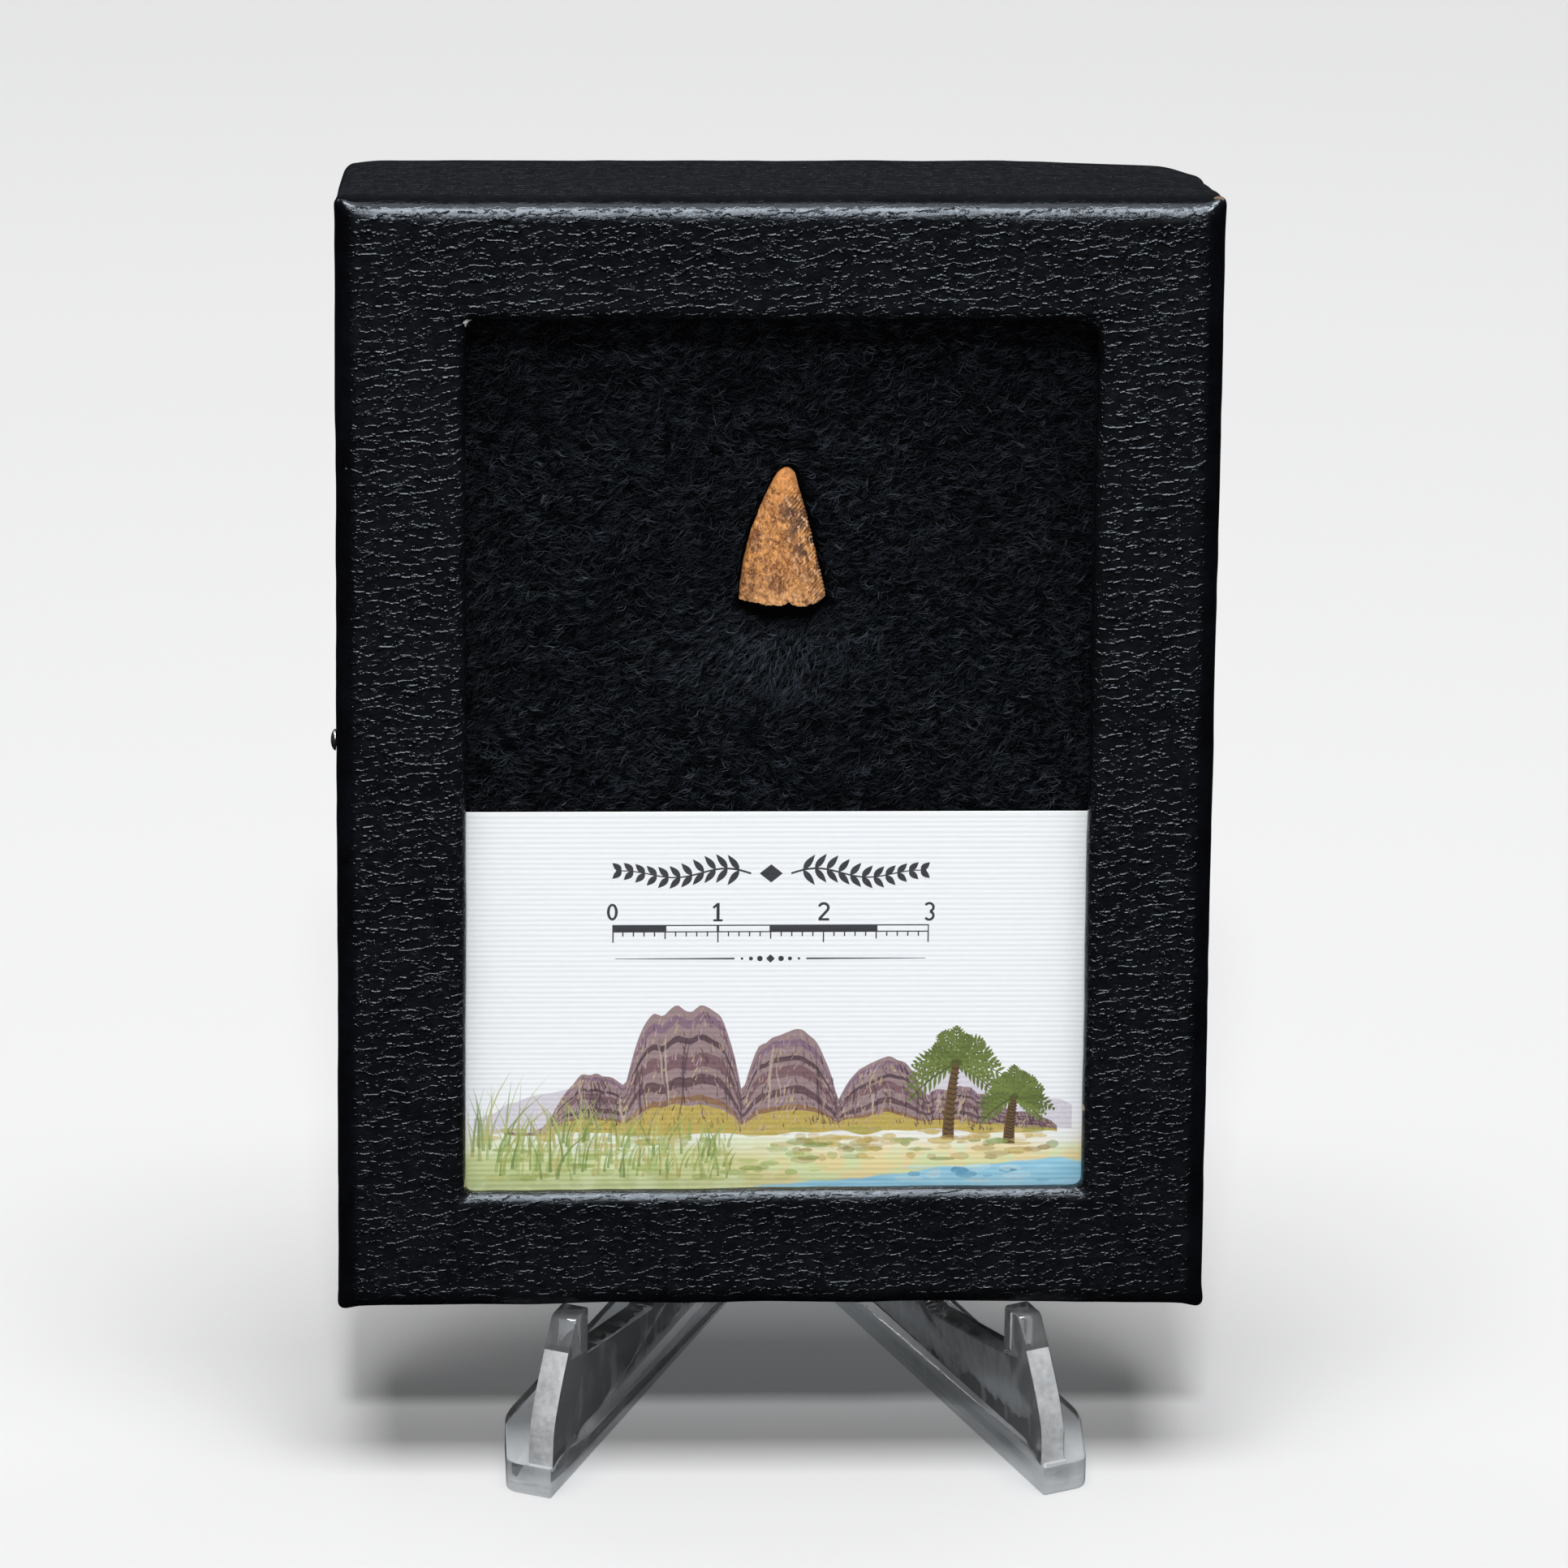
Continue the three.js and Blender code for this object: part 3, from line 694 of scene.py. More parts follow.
def fill_brow(d, h):
    """Lifts the covering along the top front edge and draws its curve back."""
    brow = np.clip(h - BOX_HEIGHT + FRONT_ROUND, -BROW_BLEND, FRONT_ROUND)
    share = np.where(brow > 0, 1 - brow / FRONT_ROUND, 1 + brow / BROW_BLEND)
    front = np.clip(2 - d / FRONT_ROUND, 0, 1)
    back = np.clip((BROW_FADE - d) / (BROW_FADE - FRONT_ROUND), 0, 1)
    deepened = np.where(brow > 0, brow / FRONT_ROUND, 0) * np.clip(d / FRONT_ROUND, 0, 1) * back
    h += BROW_RISE * share * front
    d += BROW_DEPTH * deepened


def press_back_corner(x, d, h, side, reach, start, run, inward, down):
    """Crushes a top corner of the wall, the more the further back from start."""
    near = hump(np.hypot(x - side * BOX_WIDTH / 2, h - BOX_HEIGHT), reach)
    pressed = near * ramp(d, start, run)
    x -= side * inward * pressed
    h -= down * pressed


def fold_corner(x, d, h, side, level, reach, out, along):
    """Pulls the covering into a small folded point at one of the lid's front corners."""
    away = (x - side * BOX_WIDTH / 2) ** 2 + (h - level) ** 2 + (d - FOLD_DEPTH) ** 2
    pull = hump(np.sqrt(away), reach)
    x += side * out * pull
    h += (along if level else -along) * pull
    d -= FOLD_FORWARD * pull


def crumple_window(x, d, h, points):
    """Creases the covering at the window's corners, and draws it round the top right one."""
    waves = [(amount, soft_noise(points, size, seed)) for amount, size, seed in RUFFLES]
    for corner_x, corner_h in rectangle(**WINDOW):
        near = hump(np.hypot(x - corner_x, h - corner_h), RUFFLE_REACH) * (d < REVEAL_DEPTH)
        for values, (amount, wave) in zip((x, d, h), waves):
            values += near * amount * wave
    rounded = hump(np.hypot(x - WINDOW["right"], h - WINDOW["top"]), 1.1) * (d < REVEAL_DEPTH)
    x -= 0.34 * rounded
    h -= 0.34 * rounded


def shape_lid(x, d, h):
    """The wrapped covering: a little uneven, bowed along its foot, and folded at the corners."""
    points = stacked(x, d, h)
    for axis, values in enumerate((x, d, h)):
        values += sum(high * soft_noise(points, size, seed + axis) for high, size, seed in UNEVEN)
    fill_brow(d, h)
    h += hump(h, FOOT_REACH) * FOOT_BOW * (1 - (x / FOOT_HALF) ** 2)
    sill = hump(h - WINDOW["bottom"], SILL_REACH) * (np.abs(x) < SILL_HALF)
    h += sill * (SILL_RISE * (x - WINDOW["left"]) / WINDOW_WIDTH + SILL_START)
    for corner in CRUSHED:
        press_back_corner(x, d, h, *corner)
    for side in (-1, 1):
        pinch = hump(x - side * BOX_WIDTH / 2, 2.3)
        pinch = pinch * hump(np.hypot(h - BOX_HEIGHT + 0.35, d - 0.45), 1.3)
        d -= 0.3 * pinch
        h += 0.34 * pinch
    h -= TOP_SAG * ramp(h, 100, 7) * ramp(x, 22, 16) * ramp(d, 4, 12)
    for fold in FOLDS:
        fold_corner(x, d, h, *fold)
    crumple_window(x, d, h, points)


def lid():
    stations = lid_stations()
    count = len(stations[0][0])
    x, h = (np.stack([ring[:, k] for ring, _, _ in stations]) for k in (0, 1))
    d = np.stack([np.full(count, depth) for _, depth, _ in stations])
    flat = stacked(x, d, h).reshape(-1, 3)
    shape_lid(x, d, h)
    points = stacked(x, d, h).reshape(-1, 3)
    faces = grid_faces(len(stations), count, True, True)
    piece = make_piece("lid_wrapped", points, faces, [leatherette()])
    lay_sheet(piece.data, flat, faces, stations)
    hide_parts("lid")


def lay_sheet(mesh, flat, faces, stations):
    """Coordinates on the unfolded covering, so that its creases run on round the edges."""
    out = np.array([(0, -1), (1, 0), (0, 1), (-1, 0)], float)[ring_walls()]
    side = np.array([station[2] for station in stations], float)
    direction = (side[:, None, None] * out[None, :, :]).reshape(-1, 2)
    corners = flat[faces]
    depth = corners[:, :, 1:2]
    unfolded = corners[:, :, [0, 2]] + depth * direction[:, None, :]
    values = np.concatenate((unfolded, np.zeros_like(depth)), axis=2) * MM
    write_attribute(mesh, "sheet", "FLOAT_VECTOR", "CORNER", "vector", values)


# ---------------------------------------------------------------- tray and pane

SHARP_EDGE, LEVEL_WITHIN = math.radians(28), math.radians(0.6)


def round_edges(source, name, width, finishes):
    """A copy of one of the frame's nodes, its flat faces made whole, its sharp edges rounded."""
    body = bmesh.new()
    body.from_mesh(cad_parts[source].data)
    bmesh.ops.remove_doubles(body, verts=body.verts, dist=0.002 * MM)
    bmesh.ops.dissolve_limit(body, angle_limit=LEVEL_WITHIN, verts=body.verts, edges=body.edges)
    mesh = bpy.data.meshes.new(name)
    body.to_mesh(mesh)
    body.free()
    mesh.materials.clear()
    piece = link_smooth(name, mesh, finishes)
    rounding = piece.modifiers.new("rounding", "BEVEL")
    rounding.width = width * MM
    rounding.segments = 3
    rounding.limit_method = "ANGLE"
    rounding.angle_limit = SHARP_EDGE
    rounding.harden_normals = True
    rounding.use_clamp_overlap = True
    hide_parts(source)
    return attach(piece, "root")


def tray():
    piece = round_edges("base_tray", "base_tray_papered", 0.35, [tray_paper()])


def pane():
    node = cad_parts["window_pane"]
    node.data.materials.clear()
    node.data.materials.append(clear_pane())


# ---------------------------------------------------------------- tooth

TOOTH_AROUND, BLADE_ROWS, TIP_ROWS, BREAK_RINGS = 208, 248, 14, 16
BREAK_MIDDLE, BREAK_MIDDLE_Z = 0.1, 0.38


def tooth_reach(share):
    """How far the tooth reaches to its convex and its serrated edge, and how thick it is."""
    front = 4.1 * (1 - 0.93 * share ** 2)
    serrated = 4.32 - 3.38 * share + 0.6 * share * (1 - share)
    return front, serrated, TOOTH_THICKNESS * (1 - 0.72 * share)


def tooth_section(height, shrink, angle):
    """Lens-shaped section, blunt at the front edge, with its crest nearer the serrated edge."""
    front, serrated, thickness = tooth_reach(height / TOOTH_HEIGHT)
    centre, half = (serrated - front) / 2, (serrated + front) / 2
    sine, cosine = np.sin(angle), np.cos(angle)
    power = 1.32 + 0.25 * cosine
    x = centre + shrink * half * (cosine + 0.09 * sine ** 2)
    y = shrink * (thickness / 2) * np.sign(sine) * np.abs(sine) ** power
    return x, y


BREAK_X = (-4.4, -3.3, -1.4, -0.2, 0.25, 0.6, 0.95, 1.65, 2.7, 3.5, 4.5)
BREAK_Z = (0.80, 0.68, 0.46, 0.42, 0.50, 0.80, 0.56, 0.28, 0.42, 0.66, 1.16)


def break_line(x, y):
    """Broken lower edge: nearly level, turned up at its ends, with one notch and small chips."""
    chips = 0.04 * np.sin(5.1 * x + 2 * y) * np.cos(2.3 * y) + 0.03 * np.sin(13 * x)
    return np.interp(x, BREAK_X, BREAK_Z) + chips


def blade_rings():
    """Points of the crown from its broken end to its tip, before wear."""
    blade = TOOTH_HEIGHT - TIP_LENGTH
    angle = np.linspace(0, 2 * math.pi, TOOTH_AROUND, endpoint=False)[None, :]
    z = np.linspace(0, blade, BLADE_ROWS)[:, None] + 0 * angle
    x, y = tooth_section(z, 1.0, angle)
    z = z + np.clip(1 - z / 3.0, 0, 1) * break_line(x, y)
    tip = np.sin(np.linspace(0, math.pi / 2, TIP_ROWS + 2)[1:-1])[:, None]
    z = np.concatenate((z, blade + TIP_LENGTH * tip + 0 * angle))
    shrink = np.concatenate((np.ones((BLADE_ROWS, 1)), np.sqrt(1 - tip ** 2)))
    x, y = tooth_section(z, shrink, angle)
    return x, y, z, shrink, angle


def wear_tooth(x, y, z, shrink, angle):
    """Denticles, grooves between them, pits and chipped edges."""
    points = stacked(x, y, z)
    face = np.sign(np.sin(angle))
    edge = hump(1 - np.cos(angle), 0.05)
    live = np.clip((TOOTH_HEIGHT - 1.2 - z) / 1.5, 0, 1) * ramp(z, 0, 0.5)
    wave = np.abs(np.sin(math.pi * z / DENTICLE_PITCH)) ** 0.8
    x -= edge * live * DENTICLE_HEIGHT * (1 - wave) * (0.75 + 0.4 * soft_noise(points, 1.1, 41))
    _, serrated, _ = tooth_reach(z / TOOTH_HEIGHT)
    inland = np.clip(serrated - x, 0, None)
    phase = 2 * math.pi * (z + 0.8 * inland) / DENTICLE_PITCH
    slant = np.cos(phase + 1.5 * soft_noise(points, 0.8, 40))
    broad = np.abs(np.sin(angle)) ** 0.6
    relief = 0.04 * slant * hump(inland, 1.5) * live
    relief = relief + 0.07 * soft_noise(points, 1.7, 42) + 0.035 * soft_noise(points, 0.55, 43)
    relief = relief + 0.028 * soft_noise(points * (1.6, 1, 0.6), 0.22, 44)
    y += face * broad * shrink * relief
    chipped = 0.05 * soft_noise(points, 0.9, 45) + 0.03 * soft_noise(points, 0.3, 46)
    x += np.sign(np.cos(angle)) * (1 - broad) * shrink * chipped


def broken_end(rim):
    """Rings of the crumbly root end, from its middle out to the rim."""
    centre = np.array([BREAK_MIDDLE, 0.0, 0.0])
    rings = []
    for ring in range(BREAK_RINGS - 1, 0, -1):
        share = ring / BREAK_RINGS
        inner = rim + (centre - rim) * share
        inner[:, 2] = break_line(inner[:, 0], inner[:, 1]) * (1 - 0.4 * share) + 0.22 * share
        inner[:, 2] += 0.14 * soft_noise(inner, 0.5, 48) + 0.07 * soft_noise(inner, 0.2, 49)
        rings.append(inner[None])
    return rings


def tooth():
    x, y, z, shrink, angle = blade_rings()
    wear_tooth(x, y, z, shrink, angle)
    points = stacked(x, y, z)
    near_break = np.clip(1 - np.arange(len(z)) / 12, 0, 1)[:, None]
    z += near_break * 0.05 * soft_noise(points * (1, 0.4, 0), 0.3, 47)
    crown = stacked(x, y, z)
    points = np.concatenate([*broken_end(crown[0]), crown]).reshape(-1, 3)
    rows = len(points) // TOOTH_AROUND
    faces = [list(face) for face in grid_faces(rows, TOOTH_AROUND, False, True)]
    ends = np.array([[BREAK_MIDDLE, 0.0, BREAK_MIDDLE_Z], [x[-1].mean(), 0.0, TOOTH_HEIGHT]])
    last = (rows - 1) * TOOTH_AROUND
    for step in range(TOOTH_AROUND):
        following = (step + 1) % TOOTH_AROUND
        faces.append([len(points), step, following])
        faces.append([len(points) + 1, last + following, last + step])
    place = BOX_PLACE @ Matrix.Translation(Vector((TOOTH_X, TOOTH_MIDDLE, TOOTH_FOOT)) * MM)
    piece = make_piece("tooth_crown", np.concatenate((points, ends)), faces,
                       [tooth_enamel(), tooth_break()], place)
    broken = np.zeros(len(faces), int)
    broken[:(BREAK_RINGS - 1) * TOOTH_AROUND] = 1
    broken[-2 * TOOTH_AROUND::2] = 1
    piece.data.polygons.foreach_set("material_index", broken)
    face_outward(piece)
    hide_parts("tooth")


# ---------------------------------------------------------------- fleece

BED_COLUMNS, BED_ROWS, BED_TONE = 116, 154, 0.008
STRAND_LOCKS, LOCK_STRANDS, STRAND_POINTS = 14500, 2, 4
STRAND_HALF_WIDTH, STRAND_TAPER = 0.022, (0.5, 1.0, 1.0, 0.35)

# Where strands lie: a little more than the window shows above the card.
STRANDS_LEFT, STRANDS_RIGHT, STRANDS_FOOT, STRANDS_TOP = -31.4, 31.7, 47.2, 99.2

# The paler, denser tuft under the tooth.
FUZZ = {"x": -0.4, "h": 63.2, "wide": 7.2, "tall": 3.9}


def tooth_clearance(x, h):
    """How far a point on the pad lies outside the tooth's outline; negative inside it."""
    front, serrated, _ = tooth_reach(ramp(h, TOOTH_FOOT, TOOTH_HEIGHT))
    side = np.maximum(x - TOOTH_X - serrated, TOOTH_X - front - x)
    end = np.maximum(TOOTH_FOOT - h, h - TOOTH_FOOT - TOOTH_HEIGHT)
    return np.maximum(side, end)


def hollow_and_shadow(x, h):
    """Where the tooth's broken end presses the fleece down below it, from 0 to 1; the strands' tone
    there is also darkened by it as painted shadow.
    """
    below = TOOTH_FOOT + 0.4 - h
    fade = np.clip(1 - below / 3.2, 0, 1) * np.clip(1 + below / 0.6, 0, 1)
    across = np.abs((x - TOOTH_X - BREAK_MIDDLE) / 4.3)
    return fade * np.clip(1.12 - across ** 4, 0, 1) * (below > -0.6)


def bed_depth(x, h):
    """Depth of the matted surface under the loose strands, with a nest for the tooth."""
    points = stacked(x, h, 0 * x)
    lumps = 0.22 * soft_noise(points, 5.5, 51) + 0.13 * soft_noise(points, 1.9, 52)
    nest = np.clip((0.3 - tooth_clearance(x, h)) / 0.3, 0, 1)
    nest = nest * nest * (3 - 2 * nest) * 2.15
    return FLEECE_BED + lumps + np.maximum(nest, 1.25 * hollow_and_shadow(x, h))


def fleece_bed(finish):
    """The closed body of the pad, its front a soft relief that turns back at the edges."""
    columns, rows = BED_COLUMNS, BED_ROWS
    x = np.linspace(-FLEECE_SIDE, FLEECE_SIDE, columns)[None, :] + np.zeros((rows, 1))
    h = np.linspace(FLEECE_FOOT, FLEECE_TOP, rows)[:, None] + np.zeros((1, columns))
    edge = np.minimum(np.minimum(x + FLEECE_SIDE, FLEECE_SIDE - x),
                      np.minimum(h - FLEECE_FOOT, FLEECE_TOP - h))
    front = bed_depth(x, h) + 0.9 * np.clip(1 - edge / 1.2, 0, 1) ** 2
    front = stacked(x, front, h).reshape(-1, 3)
    back = front.copy()
    back[:, 1] = FLEECE_BACK + 0.15 * soft_noise(front, 6.0, 53)
    faces = grid_faces(rows, columns)
    count = rows * columns
    number = np.arange(count).reshape(rows, columns)
    rim = np.concatenate((number[0], number[1:, -1], number[-1, -2::-1], number[-2:0:-1, 0]))
    sides = np.stack((rim, np.roll(rim, -1), count + np.roll(rim, -1), count + rim), axis=1)
    faces = np.concatenate((faces, faces[:, ::-1] + count, sides))
    bed = make_piece("fleece_bed", np.concatenate((front, back)), faces, [finish])
    face_outward(bed)
    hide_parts("fibre_pad")
    tones = np.full(len(bed.data.vertices), BED_TONE)
    write_attribute(bed.data, "tone", "FLOAT", "POINT", "value", tones)


def place_locks(draw, locks):
    """Middle, heading, tone and rise of each fibre, drawn in small locks that lie alike; the tone
    is darkened under the tooth as painted shadow.
    """
    x = draw.uniform(STRANDS_LEFT, STRANDS_RIGHT, locks)
    h = draw.uniform(STRANDS_FOOT, STRANDS_TOP, locks)
    fuzz = np.exp(-((x - FUZZ["x"]) / FUZZ["wide"]) ** 2 - ((h - FUZZ["h"]) / FUZZ["tall"]) ** 2)
    flow = stacked(x, h, 0 * x)
    angle = np.radians(14 + 24 * soft_noise(flow, 3.0, 61) + draw.normal(0, 26, locks))
    fan = np.arctan2(TOOTH_FOOT + 5 - h, TOOTH_X + 0.8 - x)
    angle = angle + fuzz * np.sin(fan - angle) * 1.1
    tone = draw.beta(0.55, 3.6, locks) + 0.6 * fuzz * draw.random(locks) ** 1.5
    tone = np.where(draw.random(locks) < 0.006, 1.0, tone)
    pressed = hollow_and_shadow(x, h)
    rise = draw.beta(1.5, 2.2, locks) * (0.85 + 0.15 * fuzz) * (1 - 0.8 * pressed)
    # Painted shadow: strands below the tooth's broken end are darkened nearly to black, where its
    # shadow falls.
    tone = tone * (1 - 0.95 * pressed)

    def spread(values, width):
        return (values[:, None] + draw.normal(0, width, (locks, LOCK_STRANDS))).ravel()

    x, h, angle = spread(x, 0.09), spread(h, 0.07), spread(angle, 0.2)
    tone, rise = np.clip(spread(tone, 0.05), 0, 1), np.clip(spread(rise, 0.1), 0, 1)
    return x, h, angle, tone, rise


def strand_paths(locks, seed):
    """Middle lines of bowed fibres that rise out of the bed and dive back into it."""
    draw = np.random.default_rng(seed)
    x, h, angle, tone, rise = place_locks(draw, locks)
    count = len(x)
    length = draw.uniform(0.55, 1.9, count)
    bow = draw.normal(0, 0.14, count) * length
    share = np.linspace(0, 1, STRAND_POINTS)[None, :]
    along = (share - 0.5) * length[:, None]
    aside = bow[:, None] * (1 - (2 * share - 1) ** 2)
    aside = aside + 0.05 * np.sin(9 * share + draw.uniform(0, 6.3, count)[:, None])
    px = x[:, None] + along * np.cos(angle)[:, None] - aside * np.sin(angle)[:, None]
    ph = h[:, None] + along * np.sin(angle)[:, None] + aside * np.cos(angle)[:, None]
    bed = bed_depth(px, ph)
    crest = np.maximum(bed - 0.05 - rise[:, None] * (bed - FLEECE_TIPS), FLEECE_TIPS + 0.03)
    swell = np.sin(math.pi * np.clip(share * 1.04 - 0.02, 0, 1)) ** 0.7
    pd = (bed + 0.06) + (crest - bed - 0.06) * swell
    clear = (tooth_clearance(px, ph) > 0.04).all(axis=1) & (hollow_and_shadow(px, ph) < 0.55).all(axis=1)
    roll = draw.uniform(-0.9, 0.9, count)
    return stacked(px, pd, ph)[clear], tone[clear], roll[clear]


def strands(number, seed, finish):
    """Flat tapered fibres, each turned a little about its own length."""
    paths, tone, roll = strand_paths(STRAND_LOCKS, seed)
    direction = np.gradient(paths, axis=1)
    direction /= np.linalg.norm(direction, axis=-1, keepdims=True)
    aside = np.cross(direction, (0.0, 1.0, 0.0))
    aside /= np.linalg.norm(aside, axis=-1, keepdims=True)
    above = np.cross(direction, aside)
    roll = roll[:, None, None]
    half = STRAND_HALF_WIDTH * np.array(STRAND_TAPER)[None, :, None]
    across = (np.cos(roll) * aside + np.sin(roll) * above) * half
    points = np.stack((paths - across, paths + across), axis=2)
    step = STRAND_POINTS * 2
    quads = grid_faces(STRAND_POINTS, 2)[None] + np.arange(len(paths))[:, None, None] * step
    piece = make_piece(f"fleece_strands_{number}", points.reshape(-1, 3), quads.reshape(-1, 4),
                       [finish])
    write_attribute(piece.data, "tone", "FLOAT", "POINT", "value", np.repeat(tone, step))


def fleece_pad():
    finish = black_fleece()
    fleece_bed(finish)
    for number in (1, 2, 3):
        strands(number, 70 + number, finish)


# ---------------------------------------------------------------- printed card

INK = shade(58, 58, 64)
JOIN_WITHIN = 1e-5
PRINT_MIDDLE, ORNAMENT_HALF, BAR_LENGTH = -0.3, 14.7, 30


class Print:
    """Flat ink shapes in the order they are printed, each an outline in (x, h) and a colour."""

    def __init__(self):
        self.shapes = []

    def shape(self, outline, colour, cover=1.0):
        self.shapes.append(([Vector(p) for p in outline], (*colour[:3], cover)))

    def line(self, points, width, colour, cover=1.0):
        """A line with square ends; width may change along it."""
        points = np.asarray(points, float)
        along = np.gradient(points, axis=0)
        along /= np.linalg.norm(along, axis=1, keepdims=True)
        aside = np.column_stack((-along[:, 1], along[:, 0])) * np.reshape(width, (-1, 1)) / 2
        self.shape([*(points + aside), *(points - aside)[::-1]], colour, cover)

    def between(self, x, top, bottom, colour, cover=1.0):
        """The band between two lines over x."""
        self.shape([*zip(x, top), *zip(x[::-1], bottom[::-1])], colour, cover)


def tinted(draw, colour, spread):
    """The colour, a little lighter or darker."""
    return tuple(np.clip(np.array(colour[:3]) * (1 + draw.uniform(-spread, spread)), 0, 1))


def draw_from(draw, tones, spread):
    """One of the tones, a little lighter or darker."""
    return tinted(draw, tones[draw.integers(len(tones))], spread)


def leaf(sheet, base, angle, length, width, colour):
    share = np.linspace(0, 1, 7)
    half = width / 2 * np.sin(math.pi * share ** 0.8)
    along = np.array([math.cos(angle), math.sin(angle)])
    aside = np.array([-along[1], along[0]])
    spine = np.array(base) + share[:, None] * length * along
    right = spine - half[:, None] * aside
    sheet.shape([*(spine + half[:, None] * aside)[:-1], *right[:0:-1]], colour)


def lozenge(sheet, x, h, wide, tall):
    sheet.shape([(x - wide, h), (x, h - tall), (x + wide, h), (x, h + tall)], INK)


def garland(sheet, middle, level, half_width):
    """Two leafy sprigs that meet at a small lozenge."""
    for side in (-1, 1):
        share = np.linspace(0, 1, 24)
        x = middle + side * (1.9 + share * (half_width - 1.9))
        h = level + 0.55 * np.sin(share * 2.6 * math.pi) * (1 - 0.5 * share)
        sheet.line(np.column_stack((x, h)), 0.2 - 0.1 * share, INK)
        for number in range(1, 12):
            at = number * 2
            for up in (-1, 1):
                lean = up * (0.95 - 0.02 * number)
                angle = lean if side > 0 else math.pi - lean
                leaf(sheet, (x[at], h[at]), angle, 1.95 - 0.07 * number, 0.62, INK)
    lozenge(sheet, middle, level, 1.1, 0.9)


def numeral(sheet, digit, x, h, size):
    """Plain stroke numerals 0 to 3."""
    turn = np.linspace(0, 1, 15)
    if digit == 0:
        angle = turn * 2 * math.pi
        for wide, tall, cover in ((0.3, 0.48, 1.0), (0.14, 0.34, 0.0)):
            rim = oval(x, h + 0.5 * size, wide * size, tall * size, angle)
            sheet.shape(rim[:-1], INK, cover)
    elif digit == 1:
        sheet.line([(x, h), (x, h + size)], 0.17 * size, INK)
        sheet.line([(x - 0.26 * size, h + 0.72 * size), (x, h + 0.96 * size)], 0.13 * size, INK)
        sheet.line([(x - 0.25 * size, h + 0.04), (x + 0.25 * size, h + 0.04)], 0.12 * size, INK)
    elif digit == 2:
        arc = oval(x, h + 0.72 * size, 0.25 * size, 0.24 * size, np.radians(165 - 205 * turn))
        sheet.line([*arc, (x - 0.24 * size, h + 0.07 * size)], 0.15 * size, INK)
        foot = h + 0.06 * size
        sheet.line([(x - 0.28 * size, foot), (x + 0.3 * size, foot)], 0.14 * size, INK)
    else:
        for centre, start, end in ((0.73, 150, -80), (0.26, 80, -150)):
            angle = np.radians(start + (end - start) * turn)
            arc = oval(x, h + centre * size, 0.23 * size, 0.23 * size, angle)
            sheet.line(arc, 0.14 * size, INK)


def scale_bar(sheet, left, level):
    """Three centimetres in black and white blocks, with millimetre ticks and numerals."""
    sheet.shape(rectangle(left, left + BAR_LENGTH, level, level + 0.75), INK)
    for block in range(3):
        start = left + 10 * block + (5 if block % 2 == 0 else 0)
        white = rectangle(start + 0.12, start + 4.88, level + 0.12, level + 0.63)
        sheet.shape(white, INK, 0.0)
    for tick in range(BAR_LENGTH + 1):
        length = 1.0 if tick % 10 == 0 else 0.65 if tick % 5 == 0 else 0.4
        at = left + min(max(tick, 0.07), BAR_LENGTH - 0.07)
        sheet.line([(at, level - length), (at, level + 0.1)], 0.13, INK)
    for digit in range(4):
        numeral(sheet, digit, left + 10 * digit, level + 1.15, 1.75)


def rule(sheet, middle, level, half_width):
    """A thin rule with dots that shrink away from its middle."""
    for side in (-1, 1):
        ends = [(middle + side * 3.4, level), (middle + side * half_width, level)]
        sheet.line(ends, (0.17, 0.06), INK)
        for number in range(1, 4):
            angle = np.linspace(0, 2 * math.pi, 13)[:-1]
            size = 0.34 - 0.07 * number
            x = middle + side * (0.15 + 0.85 * number)
            sheet.shape(oval(x, level, size, size, angle), INK)
    lozenge(sheet, middle, level, 0.42, 0.42)


# Hills: middle, height, half width and shoulder. Bands: low and high as shares of the ridge.
FAR_HILLS = [(-19, 3.6, 6.0, 1.9), (16.5, 6.2, 6.6, 1.9), (24.5, 2.6, 5.0, 1.4)]
RIDGE = [(-8.5, 12.4, 5.2, 0.75), (1.5, 10.2, 4.2, 0.8), (-16.5, 6.2, 3.6, 0.9),
         (10.5, 7.4, 4.0, 1.0), (18.0, 4.4, 4.5, 1.3), (24.0, 2.2, 2.5, 0.9)]
BANDS = [(0.0, 1.0, shade(158, 134, 136)), (0.0, 0.24, shade(196, 172, 92)),
         (0.36, 0.44, shade(104, 80, 86)), (0.55, 0.66, shade(128, 98, 104)),
         (0.72, 0.77, shade(92, 72, 80)), (0.86, 0.93, shade(138, 110, 128)),
         (0.24, 0.29, shade(148, 112, 84))]
LIT_ROCK = [shade(206, 178, 156), shade(188, 164, 186), shade(216, 190, 138), shade(176, 146, 140)]
DARK_ROCK = [shade(64, 46, 56), shade(92, 66, 76), shade(78, 56, 50), shade(112, 84, 100)]


def skyline(x, peaks):
    """Height of a range of flat-topped hills along x."""
    total = np.zeros_like(x)
    for centre, height, half, shoulder in peaks:
        total = np.maximum(total, height / (1 + np.exp((np.abs(x - centre) - half) / shoulder)))
    return total


